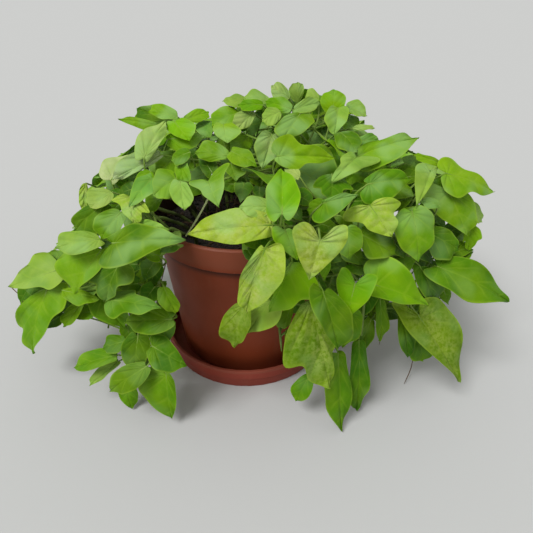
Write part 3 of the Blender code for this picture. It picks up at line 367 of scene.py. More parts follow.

# Where the pot's painted shade, darker towards its foot, starts to fade, and between which radii and heights its
# inner wall above the soil turns darker
FOOT_SHADE_HEIGHT = 0.030
INNER_WALL_DARK_RADII = (0.1425, 0.1460)
INNER_WALL_DARK_HEIGHTS = (0.200, 0.215)

# Colours of stems and potting mix
# The stem's colour near the soil: partly older, browner stem and partly painted shade of the plant's dark interior
OLD_AND_SHADED_STEM_COLOUR = (0.030, 0.026, 0.012)
STEM_COLOUR = (0.100, 0.170, 0.022)
STALK_COLOUR = (0.150, 0.270, 0.022)
STALK_PALE = (0.260, 0.360, 0.080)
SOIL_DARK = (0.012, 0.009, 0.007)
SOIL_PALE = (0.050, 0.034, 0.024)
SOIL_BARK = (0.060, 0.032, 0.018)
SOIL_GRIT = (0.350, 0.320, 0.260)
DRY_COLOUR = (0.110, 0.062, 0.030)
# Partly painted light: paler than the stalk's own green, so that it shows bright where it lies in shade over the
# soil
PALE_STALK_AND_LIGHT_COLOUR = (0.600, 0.680, 0.300)

# Loose crumbs on the potting mix and dead stalks over it: their least and greatest sizes, and the share of grit
CRUMB_RADIUS = (0.0012, 0.0038)
GRIT_SHARE = 0.05
DEAD_STALKS = 70
DEAD_STALK_LENGTH = (0.025, 0.075)
DEAD_STALK_RADIUS = (0.0006, 0.0013)
STRAND_SIDES = 6

# The stage: half the floor's width, where the key light shines from and how wide it seems, and an even sky
FLOOR_HALF = 40.0
KEY_FROM = (-0.50, -0.42, 0.90)
KEY_SOFTNESS = math.radians(26)
SKY_COLOUR = (0.99, 1.0, 0.98, 1.0)

# Fine dry strands and a bare pale stalk: their radius, which finish they have, and their points as pixels with
# how far each stands out
HANGING_STRANDS = [
    (0.0007, 0, [(379, 300, -0.020), (384, 322, -0.020), (379, 345, -0.020)]),
    (0.0007, 0, [(414, 350, -0.010), (411, 368, -0.010), (404, 384, -0.010)]),
    (0.0007, 0, [(166, 262, -0.030), (160, 292, -0.030), (166, 318, -0.030)]),
    (0.0007, 0, [(12, 288, 0.000), (20, 296, 0.000), (24, 305, 0.000)]),
    (0.0012, 1, [(186, 236, -0.085), (197, 219, -0.055), (208, 199, -0.010), (211, 189, 0.018)]),
]


def soil_height(x, y):
    """The lumpy top of the potting mix."""
    waves = math.sin(61 * x + 1.3) * math.cos(53 * y - 0.4) + 0.6 * math.sin(127 * x + 97 * y)
    return SOIL_TOP + SOIL_LUMP * 0.5 * waves


def sight(pixel):
    """The direction from the eye through a pixel of the front view."""
    across = (pixel[0] - AXIS_PIXEL[0]) / FOCAL_PIXELS
    above = (AXIS_PIXEL[1] - pixel[1]) / FOCAL_PIXELS
    return FORWARD + RIGHT * across + UP * above


def pixel_of(point):
    """The pixel where the front view shows a point."""
    offset = point - EYE
    depth = offset.dot(FORWARD)
    return (
        AXIS_PIXEL[0] + FOCAL_PIXELS * offset.dot(RIGHT) / depth,
        AXIS_PIXEL[1] - FOCAL_PIXELS * offset.dot(UP) / depth,
    )


def smooth(value):
    """An even step from 0 to 1 that starts and ends gently."""
    held = min(max(value, 0.0), 1.0)
    return held * held * (3 - 2 * held)


def surface_y(pixel):
    """Where the plant's general surface stands at a pixel, as a Y: nearest the eye over the pot's front."""
    middle = 1 - ((pixel[0] - 258) / 255) ** 2
    descent = smooth((pixel[1] - 85) / 165)
    return 0.03 - 0.07 * descent - 0.17 * middle * descent


def seen_point(pixel, lift):
    """The point of the plant's surface that a pixel shows, raised towards the eye, never under the ground."""
    ray = sight(pixel)
    share = (surface_y(pixel) - lift - EYE.y) / ray.y
    point = EYE + ray * share
    if point.z < FLOOR_CLEARANCE:
        point = EYE + ray * ((FLOOR_CLEARANCE - EYE.z) / ray.z)
    return point


def inside(pixel, polygon):
    """Whether a pixel is inside a polygon of pixels."""
    found = False
    for index, (x1, y1) in enumerate(polygon):
        x2, y2 = polygon[index - 1]
        if (y1 > pixel[1]) != (y2 > pixel[1]):
            if pixel[0] < (x2 - x1) * (pixel[1] - y1) / (y2 - y1) + x1:
                found = not found
    return found


def in_window(pixel):
    """Whether a pixel is in one of the windows."""
    return any(inside(pixel, window) for window in WINDOWS)


class Blade:
    """A leaf's blade: its frame, its two half widths and the form of its surface."""

    def __init__(self, kind, base, tip, normal, halves, fold, arch, wave, phase):
        self.kind = kind
        self.base = base
        self.length = (tip - base).length
        self.along = (tip - base).normalized()
        self.normal = (normal - self.along * normal.dot(self.along)).normalized()
        self.across = self.along.cross(self.normal)
        self.halves = halves
        self.fold = fold
        self.arch = arch
        self.wave = wave
        self.phase = phase

    def point(self, across, along, side):
        """A point of the blade. Across is in half widths of a side and along is in blade lengths."""
        half = self.halves[0] if side > 0 else self.halves[1]
        width = across * half[0]
        share = along + (half[1] - widest_along(self.kind)) * across
        rise = self.arch * self.length * 4 * share * (1 - share)
        rise += self.fold * width
        rise += self.wave * self.length * across * math.sin(7 * share + self.phase + side)
        place = self.base + self.along * (share * self.length)
        place += self.across * (side * width) + self.normal * rise
        place.z = max(place.z, FLOOR_CLEARANCE)
        return place

    def surface(self):
        """The open blade, split into triangles from the middle of its midrib."""
        half = HALF_OUTLINES[self.kind]
        notch = self.point(0, 0, 1)
        vertices = [self.point(0, MIDRIB_TURN, 1), notch + self.across * (NOTCH_WIDTH / 2)]
        vertices += [self.point(across, along, 1) for across, along in half]
        vertices.append(self.point(0, 1, 1))
        vertices += [self.point(across, along, -1) for across, along in reversed(half)]
        vertices.append(notch - self.across * (NOTCH_WIDTH / 2))
        count = len(vertices) - 1
        faces = [(0, 1 + index, 1 + (index + 1) % count) for index in range(count)]
        return vertices, faces


def widest_along(kind):
    """How far along a blade of this kind is widest."""
    return next(along for across, along in HALF_OUTLINES[kind] if across == 1.0)


def both_faces(vertices, faces, thickness):
    """An open surface's two faces, half the thickness to either side of it."""
    normals = [Vector() for _ in vertices]
    for face in faces:
        first, second, third = (vertices[index] for index in face)
        lean = (second - first).cross(third - first)
        for index in face:
            normals[index] += lean
    shifts = [normal.normalized() * (thickness / 2) for normal in normals]
    upper = [point + shift for point, shift in zip(vertices, shifts)]
    lower = [point - shift for point, shift in zip(vertices, shifts)]
    count = len(vertices)
    return upper + lower, list(faces) + [tuple(count + index for index in reversed(face)) for face in faces]


def tube(path, radii, sides):
    """A closed tube round a path, with rings that keep their direction along it."""
    vertices = []
    faces = []
    guide = Vector((0.31, 0.17, 1.0)).normalized()
    for index, point in enumerate(path):
        before = path[max(index - 1, 0)]
        after = path[min(index + 1, len(path) - 1)]
        forward = (after - before).normalized()
        first = (guide - forward * guide.dot(forward)).normalized()
        second = forward.cross(first)
        guide = first
        for side in range(sides):
            angle = math.tau * side / sides
            vertices.append(point + (first * math.cos(angle) + second * math.sin(angle)) * radii[index])
    for ring in range(len(path) - 1):
        for side in range(sides):
            following = (side + 1) % sides
            corner = ring * sides
            faces.append((corner + side, corner + following, corner + sides + following))
            faces.append((corner + side, corner + sides + following, corner + sides + side))
    for side in range(1, sides - 1):
        faces.append((0, side + 1, side))
        last = (len(path) - 1) * sides
        faces.append((last, last + side, last + side + 1))
    return vertices, faces


def through(points, steps):
    """A smooth path through points, with a number of steps between each two."""
    path = []
    padded = [points[0] * 2 - points[1], *points, points[-1] * 2 - points[-2]]
    for index in range(len(points) - 1):
        before, start, end, after = padded[index:index + 4]
        for step in range(steps):
            share = step / steps
            path.append(
                0.5 * (
                    2 * start + (end - before) * share
                    + (2 * before - 5 * start + 4 * end - after) * share ** 2
                    + (3 * start - before - 3 * end + after) * share ** 3
                )
            )
    path.append(points[-1].copy())
    return path


def stem_radii(last):
    """A stem's radii from its root to the last point of its path, where it is thinnest."""
    return [STEM_RADIUS + (STEM_END_RADIUS - STEM_RADIUS) * index / last for index in range(last + 1)]


def any_way(luck):
    """A vector of three draws between -1 and 1."""
    return Vector((luck.uniform(-1, 1), luck.uniform(-1, 1), luck.uniform(-1, 1)))


class Vine:
    """One leafy stem as it is laid out: its path and the leaves that it carries."""

    def __init__(self, number, stem, luck):
        self.number = number
        self.leaves = []
        points = []
        root = (stem.root, SOIL_TOP - HOLE_DEPTH + 2 * GAP)
        for index, (radius, height) in enumerate([root, (stem.root, SOIL_TOP + 0.012), *stem.way]):
            turn = math.radians(stem.azimuth + (luck.uniform(-3, 3) if index > 1 else 0))
            points.append(Vector((radius * math.cos(turn), radius * math.sin(turn), height)))
        self.points = points
        self.path = [points[0], *through(points[1:], 2)]
        last = len(self.path) - 1
        guard = [radius + STEM_GUARD for radius in stem_radii(last)]
        self.stem_tree = BVHTree.FromPolygons(*tube(self.path, guard, STEM_SIDES))
        self.leaf_tree = None
        self.vertices = []
        self.faces = []
        self.free = []
        for index in range(3, last):
            for step in range(STALKS_A_STRETCH):
                self.free.append(self.path[index].lerp(self.path[index + 1], step / STALKS_A_STRETCH))
        self.free.append(self.path[last].copy())

    def add(self, leaf):
        """Take in a leaf, whose stalk then has its place on the stem to itself."""
        self.leaves.append(leaf)
        for vertices, faces in leaf.guard:
            count = len(self.vertices)
            self.vertices = self.vertices + vertices
            self.faces = self.faces + [tuple(count + index for index in face) for face in faces]
        self.leaf_tree = BVHTree.FromPolygons(self.vertices, self.faces)
        self.free = [spot for spot in self.free if (spot - leaf.stalk[0]).length > STALK_SPACING]

    def heading(self, spot):
        """The stem's direction at the point of its path nearest to a spot."""
        index = min(range(1, len(self.path)), key=lambda place: (self.path[place] - spot).length)
        return (self.path[index] - self.path[index - 1]).normalized()


class PlacedLeaf:
    """A blade with its stalk. The guard is a slightly thicker copy that nothing else may touch."""

    def __init__(self, blade, stalk, tone, seen=False):
        self.seen = seen
        self.blade = blade
        self.stalk = stalk
        self.tone = tone
        self.guard = [both_faces(*blade.surface(), BLADE_GUARD), stalk_guard(stalk)]


def stalk_path(start, inward, blade):
    """A leaf stalk: it leaves the stem's middle, bows up and ends at the blade's notch."""
    end = blade.point(0, 0, 1)
    reach = (end - start).length
    bow = end - blade.normal * (0.30 * reach) - blade.along * (0.18 * reach) + inward * (0.02 * reach)
    middle = (start + 2 * bow + end) / 4
    return [start, middle, end]


def stalk_guard(stalk):
    """The space that a stalk keeps to itself, short of the blade that it carries."""
    short = [stalk[0], stalk[1], stalk[1].lerp(stalk[2], 0.96)]
    return tube(short, [STALK_RADIUS + STALK_GUARD] * 3, 4)


def held_tip(base, tip):
    """A tip that stays on its line of sight, and recedes or comes forward no more than a real leaf would."""
    near = (base - EYE).length
    sight_line = (tip - EYE).normalized()
    span = (sight_line * near - (base - EYE)).length
    further = min(max((tip - EYE).length - near, -STEEPEST * span), STEEPEST * span)
    return EYE + sight_line * (near + further)


def blade_seen(leaf, lift, luck):
    """The blade of a front leaf: it fills the same pixels as in the front view, whatever its tilt."""
    base = seen_point(leaf.base, lift)
    tip = held_tip(base, seen_point(leaf.tip, lift))
    outward = Vector((base.x, base.y, 0.0)).normalized()
    to_eye = (EYE - base).normalized()
    jitter = any_way(luck)
    normal = to_eye * 0.48 + Vector((0, 0, 0.46)) + outward * 0.24 + jitter * 0.18
    along = (tip - base).normalized()
    normal = (normal - along * normal.dot(along)).normalized()
    across = along.cross(normal)
    length = (tip - base).length
    halves = {}
    for pixel in (leaf.one, leaf.other):
        ray = sight(pixel)
        spot = EYE + ray * ((base - EYE).dot(normal) / ray.dot(normal))
        sideways = (spot - base).dot(across)
        side = 0 if sideways > 0 else 1
        width = min(max(abs(sideways), 0.10 * length), 0.95 * length)
        share = min(max((spot - base).dot(along) / length, -0.45), 0.80)
        halves[side] = (width, share)
    for side in (0, 1):
        halves.setdefault(side, (0.12 * length, 0.2))
    fold = luck.uniform(-0.10, 0.22)
    arch = luck.uniform(0.02, 0.09)
    wave = luck.uniform(0.010, 0.030)
    return Blade(leaf.kind, base, tip, normal, (halves[0], halves[1]), fold, arch, wave, luck.uniform(0, 6))


def touches(vertices, faces, solids, vines, own=None):
    """Whether a surface meets the pot, the saucer, a leaf or a stem. A stalk may meet its own stem."""
    tree = BVHTree.FromPolygons(vertices, faces)
    for solid in solids:
        if tree.overlap(solid):
            return True
    for vine in vines:
        if vine.leaf_tree and tree.overlap(vine.leaf_tree):
            return True
        if vine is not own and tree.overlap(vine.stem_tree):
            return True
    return False


def blade_clear(blade, vines, solids):
    """Whether a blade meets nothing that stands already."""
    return not touches(*both_faces(*blade.surface(), BLADE_GUARD), solids, vines)


def stalk_clear(stalk, vines, own, solids):
    """Whether a stalk meets nothing but its own stem, and stays off the ground and out of the windows."""
    if min(point.z for point in stalk) < FLOOR_CLEARANCE:
        return False
    for start, end in zip(stalk, stalk[1:]):
        for step in range(4):
            if in_window(pixel_of(start.lerp(end, step / 4))):
                return False
    return not touches(*stalk_guard(stalk), solids, vines, own)


def attach(blade, vines, solids):
    """The stalk with the best length and way from a stem to the blade, clear of every other leaf and stem."""
    ways = []
    for vine in vines:
        for start in vine.free:
            reach = (blade.base - start).length
            behind = (blade.base - start).dot(blade.normal)
            if reach > LONGEST_STALK:
                continue
            cost = abs(reach - 0.060) + max(0.0, 0.01 - behind) * 1.5 + len(vine.leaves) * 0.0010
            ways.append((cost, vine.number, start))
    ways.sort(key=lambda way: way[:2])
    for cost, number, start in ways[:STALK_TRIES]:
        vine = vines[number]
        stalk = stalk_path(start, -vine.heading(start), blade)
        if stalk_clear(stalk, vines, vine, solids):
            return vine, stalk
    return None, None


def settle(blade, tone, vines, solids, front=None, vine=None, start=None):
    """Take a blade in if it is clear of the rest, on a stalk from a given place of a stem or from the best one.
    A tree of the front leaves is given with any leaf that mustn't hide them."""
    if front is not None and hides_front(blade, front):
        return False
    if not blade_clear(blade, vines, solids):
        return False
    if vine:
        stalk = stalk_path(start, -vine.heading(start), blade)
        if not stalk_clear(stalk, vines, vine, solids):
            return False
    else:
        vine, stalk = attach(blade, vines, solids)
        if not vine:
            return False
    vine.add(PlacedLeaf(blade, stalk, tone, front is None))
    return True


def place_front_leaves(leaves, first_number, vines, solids):
    """Each front leaf takes the nearest place along its line of sight where it is clear of the rest."""
    for number, leaf in enumerate(leaves, first_number):
        for step in LIFT_STEPS:
            luck = random.Random(SEED * 1000 + number)
            if settle(blade_seen(leaf, leaf.lift + step, luck), leaf.tone, vines, solids):
                break


def hides_front(blade, front):
    """Whether a blade stands before a front leaf, or shows past the plant's outline or in a window."""
    vertices, _ = blade.surface()
    for point in vertices:
        pixel = pixel_of(point)
        if not inside(pixel, OUTLINE_PIXELS):
            return True
        if in_window(pixel):
            return True
        away = (point - EYE).normalized()
        if front.ray_cast(point, away, 0.20)[0]:
            return True
    return False


def side_blade(start, heading, side, growth, luck):
    """A blade on a stalk that rises from the stem to one side, with its face turned up to the light. Growth is
    the size of blade and stalk, and how far they lean out."""
    size, spread = growth
    outward = Vector((start.x, start.y, 0.0)).normalized()
    sideways = outward.cross(Vector((0, 0, 1)))
    lean = side * luck.uniform(0.15, 1.0)
    way = outward * luck.uniform(0.3, 0.9) * spread + sideways * lean
    way = way + Vector((0, 0, luck.uniform(0.2, 1.0))) + heading * 0.3
    base = start + way.normalized() * luck.uniform(*SIDE_STALK_LENGTH) * size
    run = outward * spread + sideways * lean * luck.uniform(0.2, 1.2)
    run = run + Vector((0, 0, luck.uniform(-0.9, 0.15)))
    length = luck.uniform(*SIDE_LEAF_LENGTH) * size
    jitter = any_way(luck)
    normal = Vector((0, 0, 0.8)) + outward * 0.6 + jitter * 0.3
    kind = "arrow" if luck.random() < 0.25 else "round"
    half = length * luck.uniform(0.42, 0.54)
    halves = ((half, widest_along(kind)), (half * luck.uniform(0.9, 1.1), widest_along(kind)))
    fold = luck.uniform(-0.12, 0.25)
    arch = luck.uniform(0.03, 0.10)
    wave = luck.uniform(0.01, 0.03)
    tip = base + run.normalized() * length
    return Blade(kind, base, tip, normal, halves, fold, arch, wave, luck.uniform(0, 6))


def blade_tree(vines, only_seen=False):
    """The blades that stand so far, or only the ones read from the front view, as one tree."""
    vertices = []
    faces = []
    for vine in vines:
        for leaf in vine.leaves:
            if only_seen and not leaf.seen:
                continue
            spots, flats = leaf.blade.surface()
            count = len(vertices)
            vertices += spots
            faces += [tuple(count + index for index in flat) for flat in flats]
    return BVHTree.FromPolygons(vertices, faces)


def place_side_leaves(steps, tries, first_seed, growth, front, vines, solids):
    """Leaves all along each stem, wherever there is room for them, that don't hide the front ones."""
    for step in range(steps):
        for vine in vines:
            luck = random.Random(SEED * first_seed + vine.number * 131 + step)
            for attempt in range(tries):
                if not vine.free:
                    break
                start = luck.choice(vine.free)
                side = 1 if (step + attempt) % 2 else -1
                blade = side_blade(start, vine.heading(start), side, growth, luck)
                if min((blade.base + blade.along * blade.length).z, blade.base.z) < LOWEST_SIDE_LEAF:
                    continue
                tone = random.Random(first_seed + vine.number * 97 + step).choice(SIDE_TONES)
                if settle(blade, tone, vines, solids, front, vine, start):
                    break


def gap_leaf(pixel, luck):
    """A small leaf across a pixel, which points away from the middle of the plant and down."""
    heading = math.atan2(pixel[1] - PLANT_MIDDLE[1], pixel[0] - PLANT_MIDDLE[0]) + luck.uniform(-0.9, 0.9)
    length = luck.uniform(*GAP_LEAF_PIXELS)
    across, along = math.cos(heading), math.sin(heading)

    def spot(share, off):
        right = (along * off + across * share) * length
        down = (along * share - across * off) * length
        return (pixel[0] + right, pixel[1] + down)

    wide = luck.uniform(0.34, 0.50)
    spots = [spot(-0.45, 0), spot(0.55, 0), spot(-0.30, wide), spot(-0.30, -wide)]
    # Its tone, mostly dark, holds painted shade of the plant's interior
    return Leaf("round", luck.choice(GAP_SHADE_TONES), *spots, 0)


def place_gap_leaves(front, vines, solids):
    """Where the front view would look through the foliage, small leaves close the gap from behind."""
    for turn in range(GAP_TURNS):
        cover = blade_tree(vines)
        for row in GAP_ROWS:
            for column in GAP_COLUMNS:
                luck = random.Random((SEED + turn) * 100003 + row * 541 + column)
                pixel = (column + luck.uniform(-3, 3), row + luck.uniform(-3, 3))
                if not inside(pixel, OUTLINE_PIXELS) or in_window(pixel):
                    continue
                if cover.ray_cast(EYE, sight(pixel))[0]:
                    continue
                leaf = gap_leaf(pixel, luck)
                for lift in GAP_LIFTS:
                    blade = blade_seen(leaf, lift, random.Random(row * 541 + column))
                    if settle(blade, leaf.tone, vines, solids, front):
                        cover = blade_tree(vines)
                        break


def place_tip_leaves(front, vines, solids):
    """Two young leaves at the end of each stem."""
    for vine in vines:
        end = vine.path[-1]
        heading = vine.heading(end)
        luck = random.Random(SEED * 517 + vine.number)
        for side in (-1, 1) * TIP_LEAF_TRIES:
            blade = side_blade(end, heading, side, TIP_GROWTH, luck)
            if blade.base.z < LOWEST_TIP_LEAF:
                continue
            if settle(blade, "bright", vines, solids, front, vine, end):
                if len([leaf for leaf in vine.leaves if leaf.stalk[0] == end]) > 1:
                    break


def solid_tree(name):
    """A solid of the frame as a tree."""
    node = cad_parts[name]
    spots = [node.matrix_world @ vert.co for vert in node.data.vertices]
    return BVHTree.FromPolygons(spots, [tuple(face.vertices) for face in node.data.polygons])


# Fine leaves and stems


def outline_rows(kind, steps):
    """A blade's rows: each runs as a side vein does, from a place on the midrib to the smooth half outline."""
    half = [Vector((across, along, 0)) for across, along in HALF_OUTLINES[kind]]
    curve = through([Vector((0, 0, 0)), *half, Vector((0, 1, 0))], steps)
    curve[-1] = curve[-2].lerp(curve[-1], 0.9)
    rows = []
    foot = 0.0
    for index, spot in enumerate(curve[1:], 1):
        share = index / (len(curve) - 1)
        foot = max(foot, FAN_REACH * share, spot.y - VEIN_SLANT * spot.x * (1 - spot.y))
        rows.append((share, foot, spot.x, spot.y))
    return rows


def blade_place(blade, row, reach, side, leafy):
    """A point of a fine blade: the solid blade's form with puckers between the veins and a waved margin."""
    share, foot, across, along = row
    across *= 1 + leafy.margin * math.sin(math.tau * 3.3 * share + blade.phase * 3 + side)
    place = blade.point(across * reach, foot + (along - foot) * reach, side)
    pucker = math.sin(math.pi * SIDE_VEINS * share) ** 2 * math.sin(math.pi * min(reach + 0.08, 1.0))
    frill = reach ** 2 * math.sin(math.tau * 2.5 * share + blade.phase * 2 + side)
    groove = -max(0.0, 1 - reach * 4) * 0.012
    rise = leafy.pucker * pucker + leafy.frill * frill + groove
    return place + blade.normal * (blade.length * rise)


def add_blade(bm, leaf, tint, leafy):
    """A fine blade: a grid laid over the half outlines, then given its thickness."""
    steps, half = FINE_BLADE if leaf.seen or leaf.blade.length > FINE_FROM else SMALL_BLADE
    rows = outline_rows(leaf.blade.kind, steps)
    uv = bm.loops.layers.uv["leaf"]
    colour = bm.verts.layers.float_color["tint"]
    grid = bmesh.ops.create_grid(bm, x_segments=2 * half, y_segments=len(rows) - 1, size=1)
    spots = {}
    for vert in grid["verts"]:
        column = round((vert.co.x + 1) * half) - half
        row = rows[round((vert.co.y + 1) / 2 * (len(rows) - 1))]
        reach = abs(column) / half
        side = 1 if column >= 0 else -1
        vert.co = blade_place(leaf.blade, row, reach, side, leafy)
        vert.co.z = max(vert.co.z, FLOOR_CLEARANCE)
        vert[colour] = tint
        spots[vert] = (0.5 + 0.5 * side * reach, row[0])
    faces = list({face for vert in grid["verts"] for face in vert.link_faces})
    for face in faces:
        face.material_index = 0
        for loop in face.loops:
            loop[uv].uv = spots[loop.vert]
    made = bmesh.ops.solidify(bm, geom=faces, thickness=leafy.thickness)
    walls = [item for item in made["geom"] if isinstance(item, bmesh.types.BMFace)]
    bmesh.ops.recalc_face_normals(bm, faces=faces + walls)


def add_tube(bm, path, radii, sides, tints):
    """A closed round tube along a path, drawn out ring by ring from a short prism. Each ring has its tint."""
    colour = bm.verts.layers.float_color["tint"]
    prism = bmesh.ops.create_cone(bm, cap_ends=True, segments=sides, radius1=1, radius2=1, depth=2)["verts"]
    rings = [[vert for vert in prism if vert.co.z < 0], [vert for vert in prism if vert.co.z > 0]]
    faces = {face for vert in prism for face in vert.link_faces}
    top = next(face for face in faces if all(vert in rings[1] for vert in face.verts))
    angles = [math.tau * turn / sides for turn in range(sides)]
    order = []
    for ring in rings:
        order.append(sorted(ring, key=lambda vert: math.atan2(vert.co.y, vert.co.x) % math.tau))
    guide = Vector((0.31, 0.17, 1.0)).normalized()
    for index, spot in enumerate(path):
        forward = (path[min(index + 1, len(path) - 1)] - path[max(index - 1, 0)]).normalized()
        guide = (guide - forward * guide.dot(forward)).normalized()
        second = forward.cross(guide)
        if index < 2:
            ring = order[index]
        else:
            before = ring
            top = bmesh.ops.extrude_discrete_faces(bm, faces=[top])["faces"][0]
            old = {tuple(vert.co): turn for turn, vert in enumerate(before)}
            ring = sorted(top.verts, key=lambda vert: old[tuple(vert.co)])
            faces |= {face for vert in top.verts for face in vert.link_faces}
        for vert, angle in zip(ring, angles):
            vert.co = spot + (guide * math.cos(angle) + second * math.sin(angle)) * radii[index]
            vert[colour] = tints[index]
    faces = [face for face in faces if face.is_valid]
    for face in faces:
        face.material_index = 1
    bmesh.ops.recalc_face_normals(bm, faces=faces)


def add_strand(bm, path, radius):
    """A thin tube that is narrower at its end."""
    add_tube(bm, path, [radius] * (len(path) - 1) + [radius * 0.4], STRAND_SIDES, [(0, 0, 0, 1)] * len(path))


def finish_mesh(bm, name, finishes, crease):
    """A smooth-shaded object from a bmesh. Edges are sharp where faces meet at more than the crease."""
    for face in bm.faces:
        face.smooth = True
    for edge in bm.edges:
        edge.smooth = edge.calc_face_angle(0.0) < crease
    mesh = bpy.data.meshes.new(name)
    bm.to_mesh(mesh)
    bm.free()
    for finish in finishes:
        mesh.materials.append(finish)
    made = bpy.data.objects.new(name, mesh)
    bpy.context.scene.collection.objects.link(made)
    return made


def leaf_tint(tone, luck):
    """A leaf's own colour, a little off its tone, with the share of mottling in the last channel."""
    red, green, blue, mottling = TONES[tone]
    light = luck.uniform(0.86, 1.12)
    warm = luck.uniform(-0.06, 0.08)
    mottled = mottling * luck.uniform(0.6, 1.0)
    return (red * light * (1 + warm), green * light, blue * light * (1 - warm), mottled)


def nearest_on(path, spot):
    """The point of a path nearest to a spot."""
    best = path[0]
    for start, end in zip(path, path[1:]):
        run = end - start
        share = min(max((spot - start).dot(run) / run.length_squared, 0.0), 1.0)
        place = start + run * share
        if (place - spot).length < (best - spot).length:
            best = place
    return best


def fine_stalk(leaf, stem_path):
    """A round stalk's path and radii: out of the stem, bowed up to the notch, then on as the midrib."""
    blade = leaf.blade
    start = nearest_on(stem_path, leaf.stalk[0])
    under = blade.normal * (STALK_RADIUS * 0.5)
    path = through([start, leaf.stalk[1], leaf.stalk[2] - under], 5)
    radii = [STALK_RADIUS * (1.25 - 0.35 * index / (len(path) - 1)) for index in range(len(path))]
    for along, radius in [(0.10, 0.75), (0.30, 0.50), (0.55, 0.28)]:
        sunk = blade.point(0, along, 1) - blade.normal * (STALK_RADIUS * radius * 0.6 + blade.length * 0.012)
        path.append(sunk)
        radii.append(STALK_RADIUS * radius)
    return path, radii


def make_vine(vine, leafy, finishes):
    """One leafy stem: a round stem, its stalks and its fine blades."""
    name = f"leafy_stem_{vine.number + 1:02d}"
    luck = random.Random(SEED * 31 + vine.number)
    bm = bmesh.new()
    bm.loops.layers.uv.new("leaf")
    bm.verts.layers.float_color.new("tint")
    path = [vine.points[0], *through(vine.points[1:], STEM_STEPS)]
    last = len(path) - 1
    radii = stem_radii(last)
    radii[-1] *= 0.35
    # Nearly black near the soil, from older stem and painted shade of the interior, turning green further out
    old, young = Vector(OLD_AND_SHADED_STEM_COLOUR), Vector(STEM_COLOUR)
    tints = [(*old.lerp(young, smooth(1.4 * index / last - 0.15)), 1.0) for index in range(last + 1)]
    add_tube(bm, path, radii, STEM_ROUND, tints)
    for leaf in vine.leaves:
        stalk, sizes = fine_stalk(leaf, path)
        foot = tints[path.index(min(path, key=lambda spot: (spot - stalk[0]).length))]
        greens = []
        for index in range(len(stalk)):
            share = min(1.0, 0.3 + 1.4 * index / len(stalk))
            greens.append((*Vector(foot[:3]).lerp(Vector(STALK_COLOUR), share), 1.0))
        add_tube(bm, stalk, sizes, STALK_ROUND, greens)
        add_blade(bm, leaf, leaf_tint(leaf.tone, luck), leafy)
    made = finish_mesh(bm, name, finishes, LEAF_CREASE)
    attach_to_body(made, "root")
    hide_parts(f"vine_{vine.number + 1:02d}")


# Materials


class Finish:
    """A material whose nodes are put together in a few words."""

    def __init__(self, name):
        self.material = bpy.data.materials.new(name)
        self.material.use_nodes = True
        self.tree = self.material.node_tree
        self.shader = self.tree.nodes["Principled BSDF"]
        self.coordinates = self.node("ShaderNodeTexCoord").outputs["Object"]

    def node(self, kind, inputs=None, **settings):
        """A new node with its settings, and with its inputs set or linked."""
        made = self.tree.nodes.new(kind)
        for key, value in settings.items():
            setattr(made, key, value)
        for key, value in (inputs or {}).items():
            if isinstance(value, bpy.types.NodeSocket):
                self.tree.links.new(value, made.inputs[key])
            else:
                made.inputs[key].default_value = value
        return made

    def math(self, operation, first, second=0.5, third=0.0):
        """The result of a sum or another operation on up to three values."""
        made = self.node("ShaderNodeMath", {0: first, 1: second, 2: third}, operation=operation)
        return made.outputs[0]

    def times(self, first, second):
        return self.math("MULTIPLY", first, second)

    def cells(self, scale, feature="F1"):
        """How far a place is from the points, or the edges, of uneven cells."""
        inputs = {"Vector": self.coordinates, "Scale": scale}
        return self.node("ShaderNodeTexVoronoi", inputs, feature=feature).outputs["Distance"]

    def height(self):
        return self.node("ShaderNodeSeparateXYZ", {0: self.coordinates}).outputs[2]

    def fit(self, value, low, high, new_low=0.0, new_high=1.0):
        """A value's range from low to high turned smoothly into a new range."""
        inputs = {"Value": value, "From Min": low, "From Max": high, "To Min": new_low, "To Max": new_high}
        return self.node("ShaderNodeMapRange", inputs, interpolation_type="SMOOTHSTEP").outputs[0]

    def mix(self, share, first, second, blend="MIX"):
        made = self.node("ShaderNodeMix", data_type="RGBA", blend_type=blend)
        for index, value in [(0, share), (6, first), (7, second)]:
            if isinstance(value, bpy.types.NodeSocket):
                self.tree.links.new(value, made.inputs[index])
            elif index:
                made.inputs[index].default_value = (*value[:3], 1.0)
            else:
                made.inputs[index].default_value = value
        return made.outputs[2]

    def noise(self, scale, detail=2.0, roughness=0.5, coordinates=None):
        vector = coordinates or self.coordinates
        inputs = {"Vector": vector, "Scale": scale, "Detail": detail, "Roughness": roughness}
        return self.node("ShaderNodeTexNoise", inputs).outputs["Fac"]

    def stretched(self, scale):
        """Object coordinates scaled by three numbers, for streaks."""
        return self.node("ShaderNodeMapping", {"Vector": self.coordinates, "Scale": scale}).outputs[0]

    def bump(self, height, strength, distance, under=None):
        inputs = {"Height": height, "Strength": strength, "Distance": distance}
        if under is not None:
            inputs["Normal"] = under
        return self.node("ShaderNodeBump", inputs).outputs[0]

    def set(self, **inputs):
        """Set or link inputs of the skin's shader, whose names have underscores here for spaces."""
        for key, value in inputs.items():
            socket = self.shader.inputs[key.replace("_", " ")]
            if isinstance(value, bpy.types.NodeSocket):
                self.tree.links.new(value, socket)
            else:
                socket.default_value = value


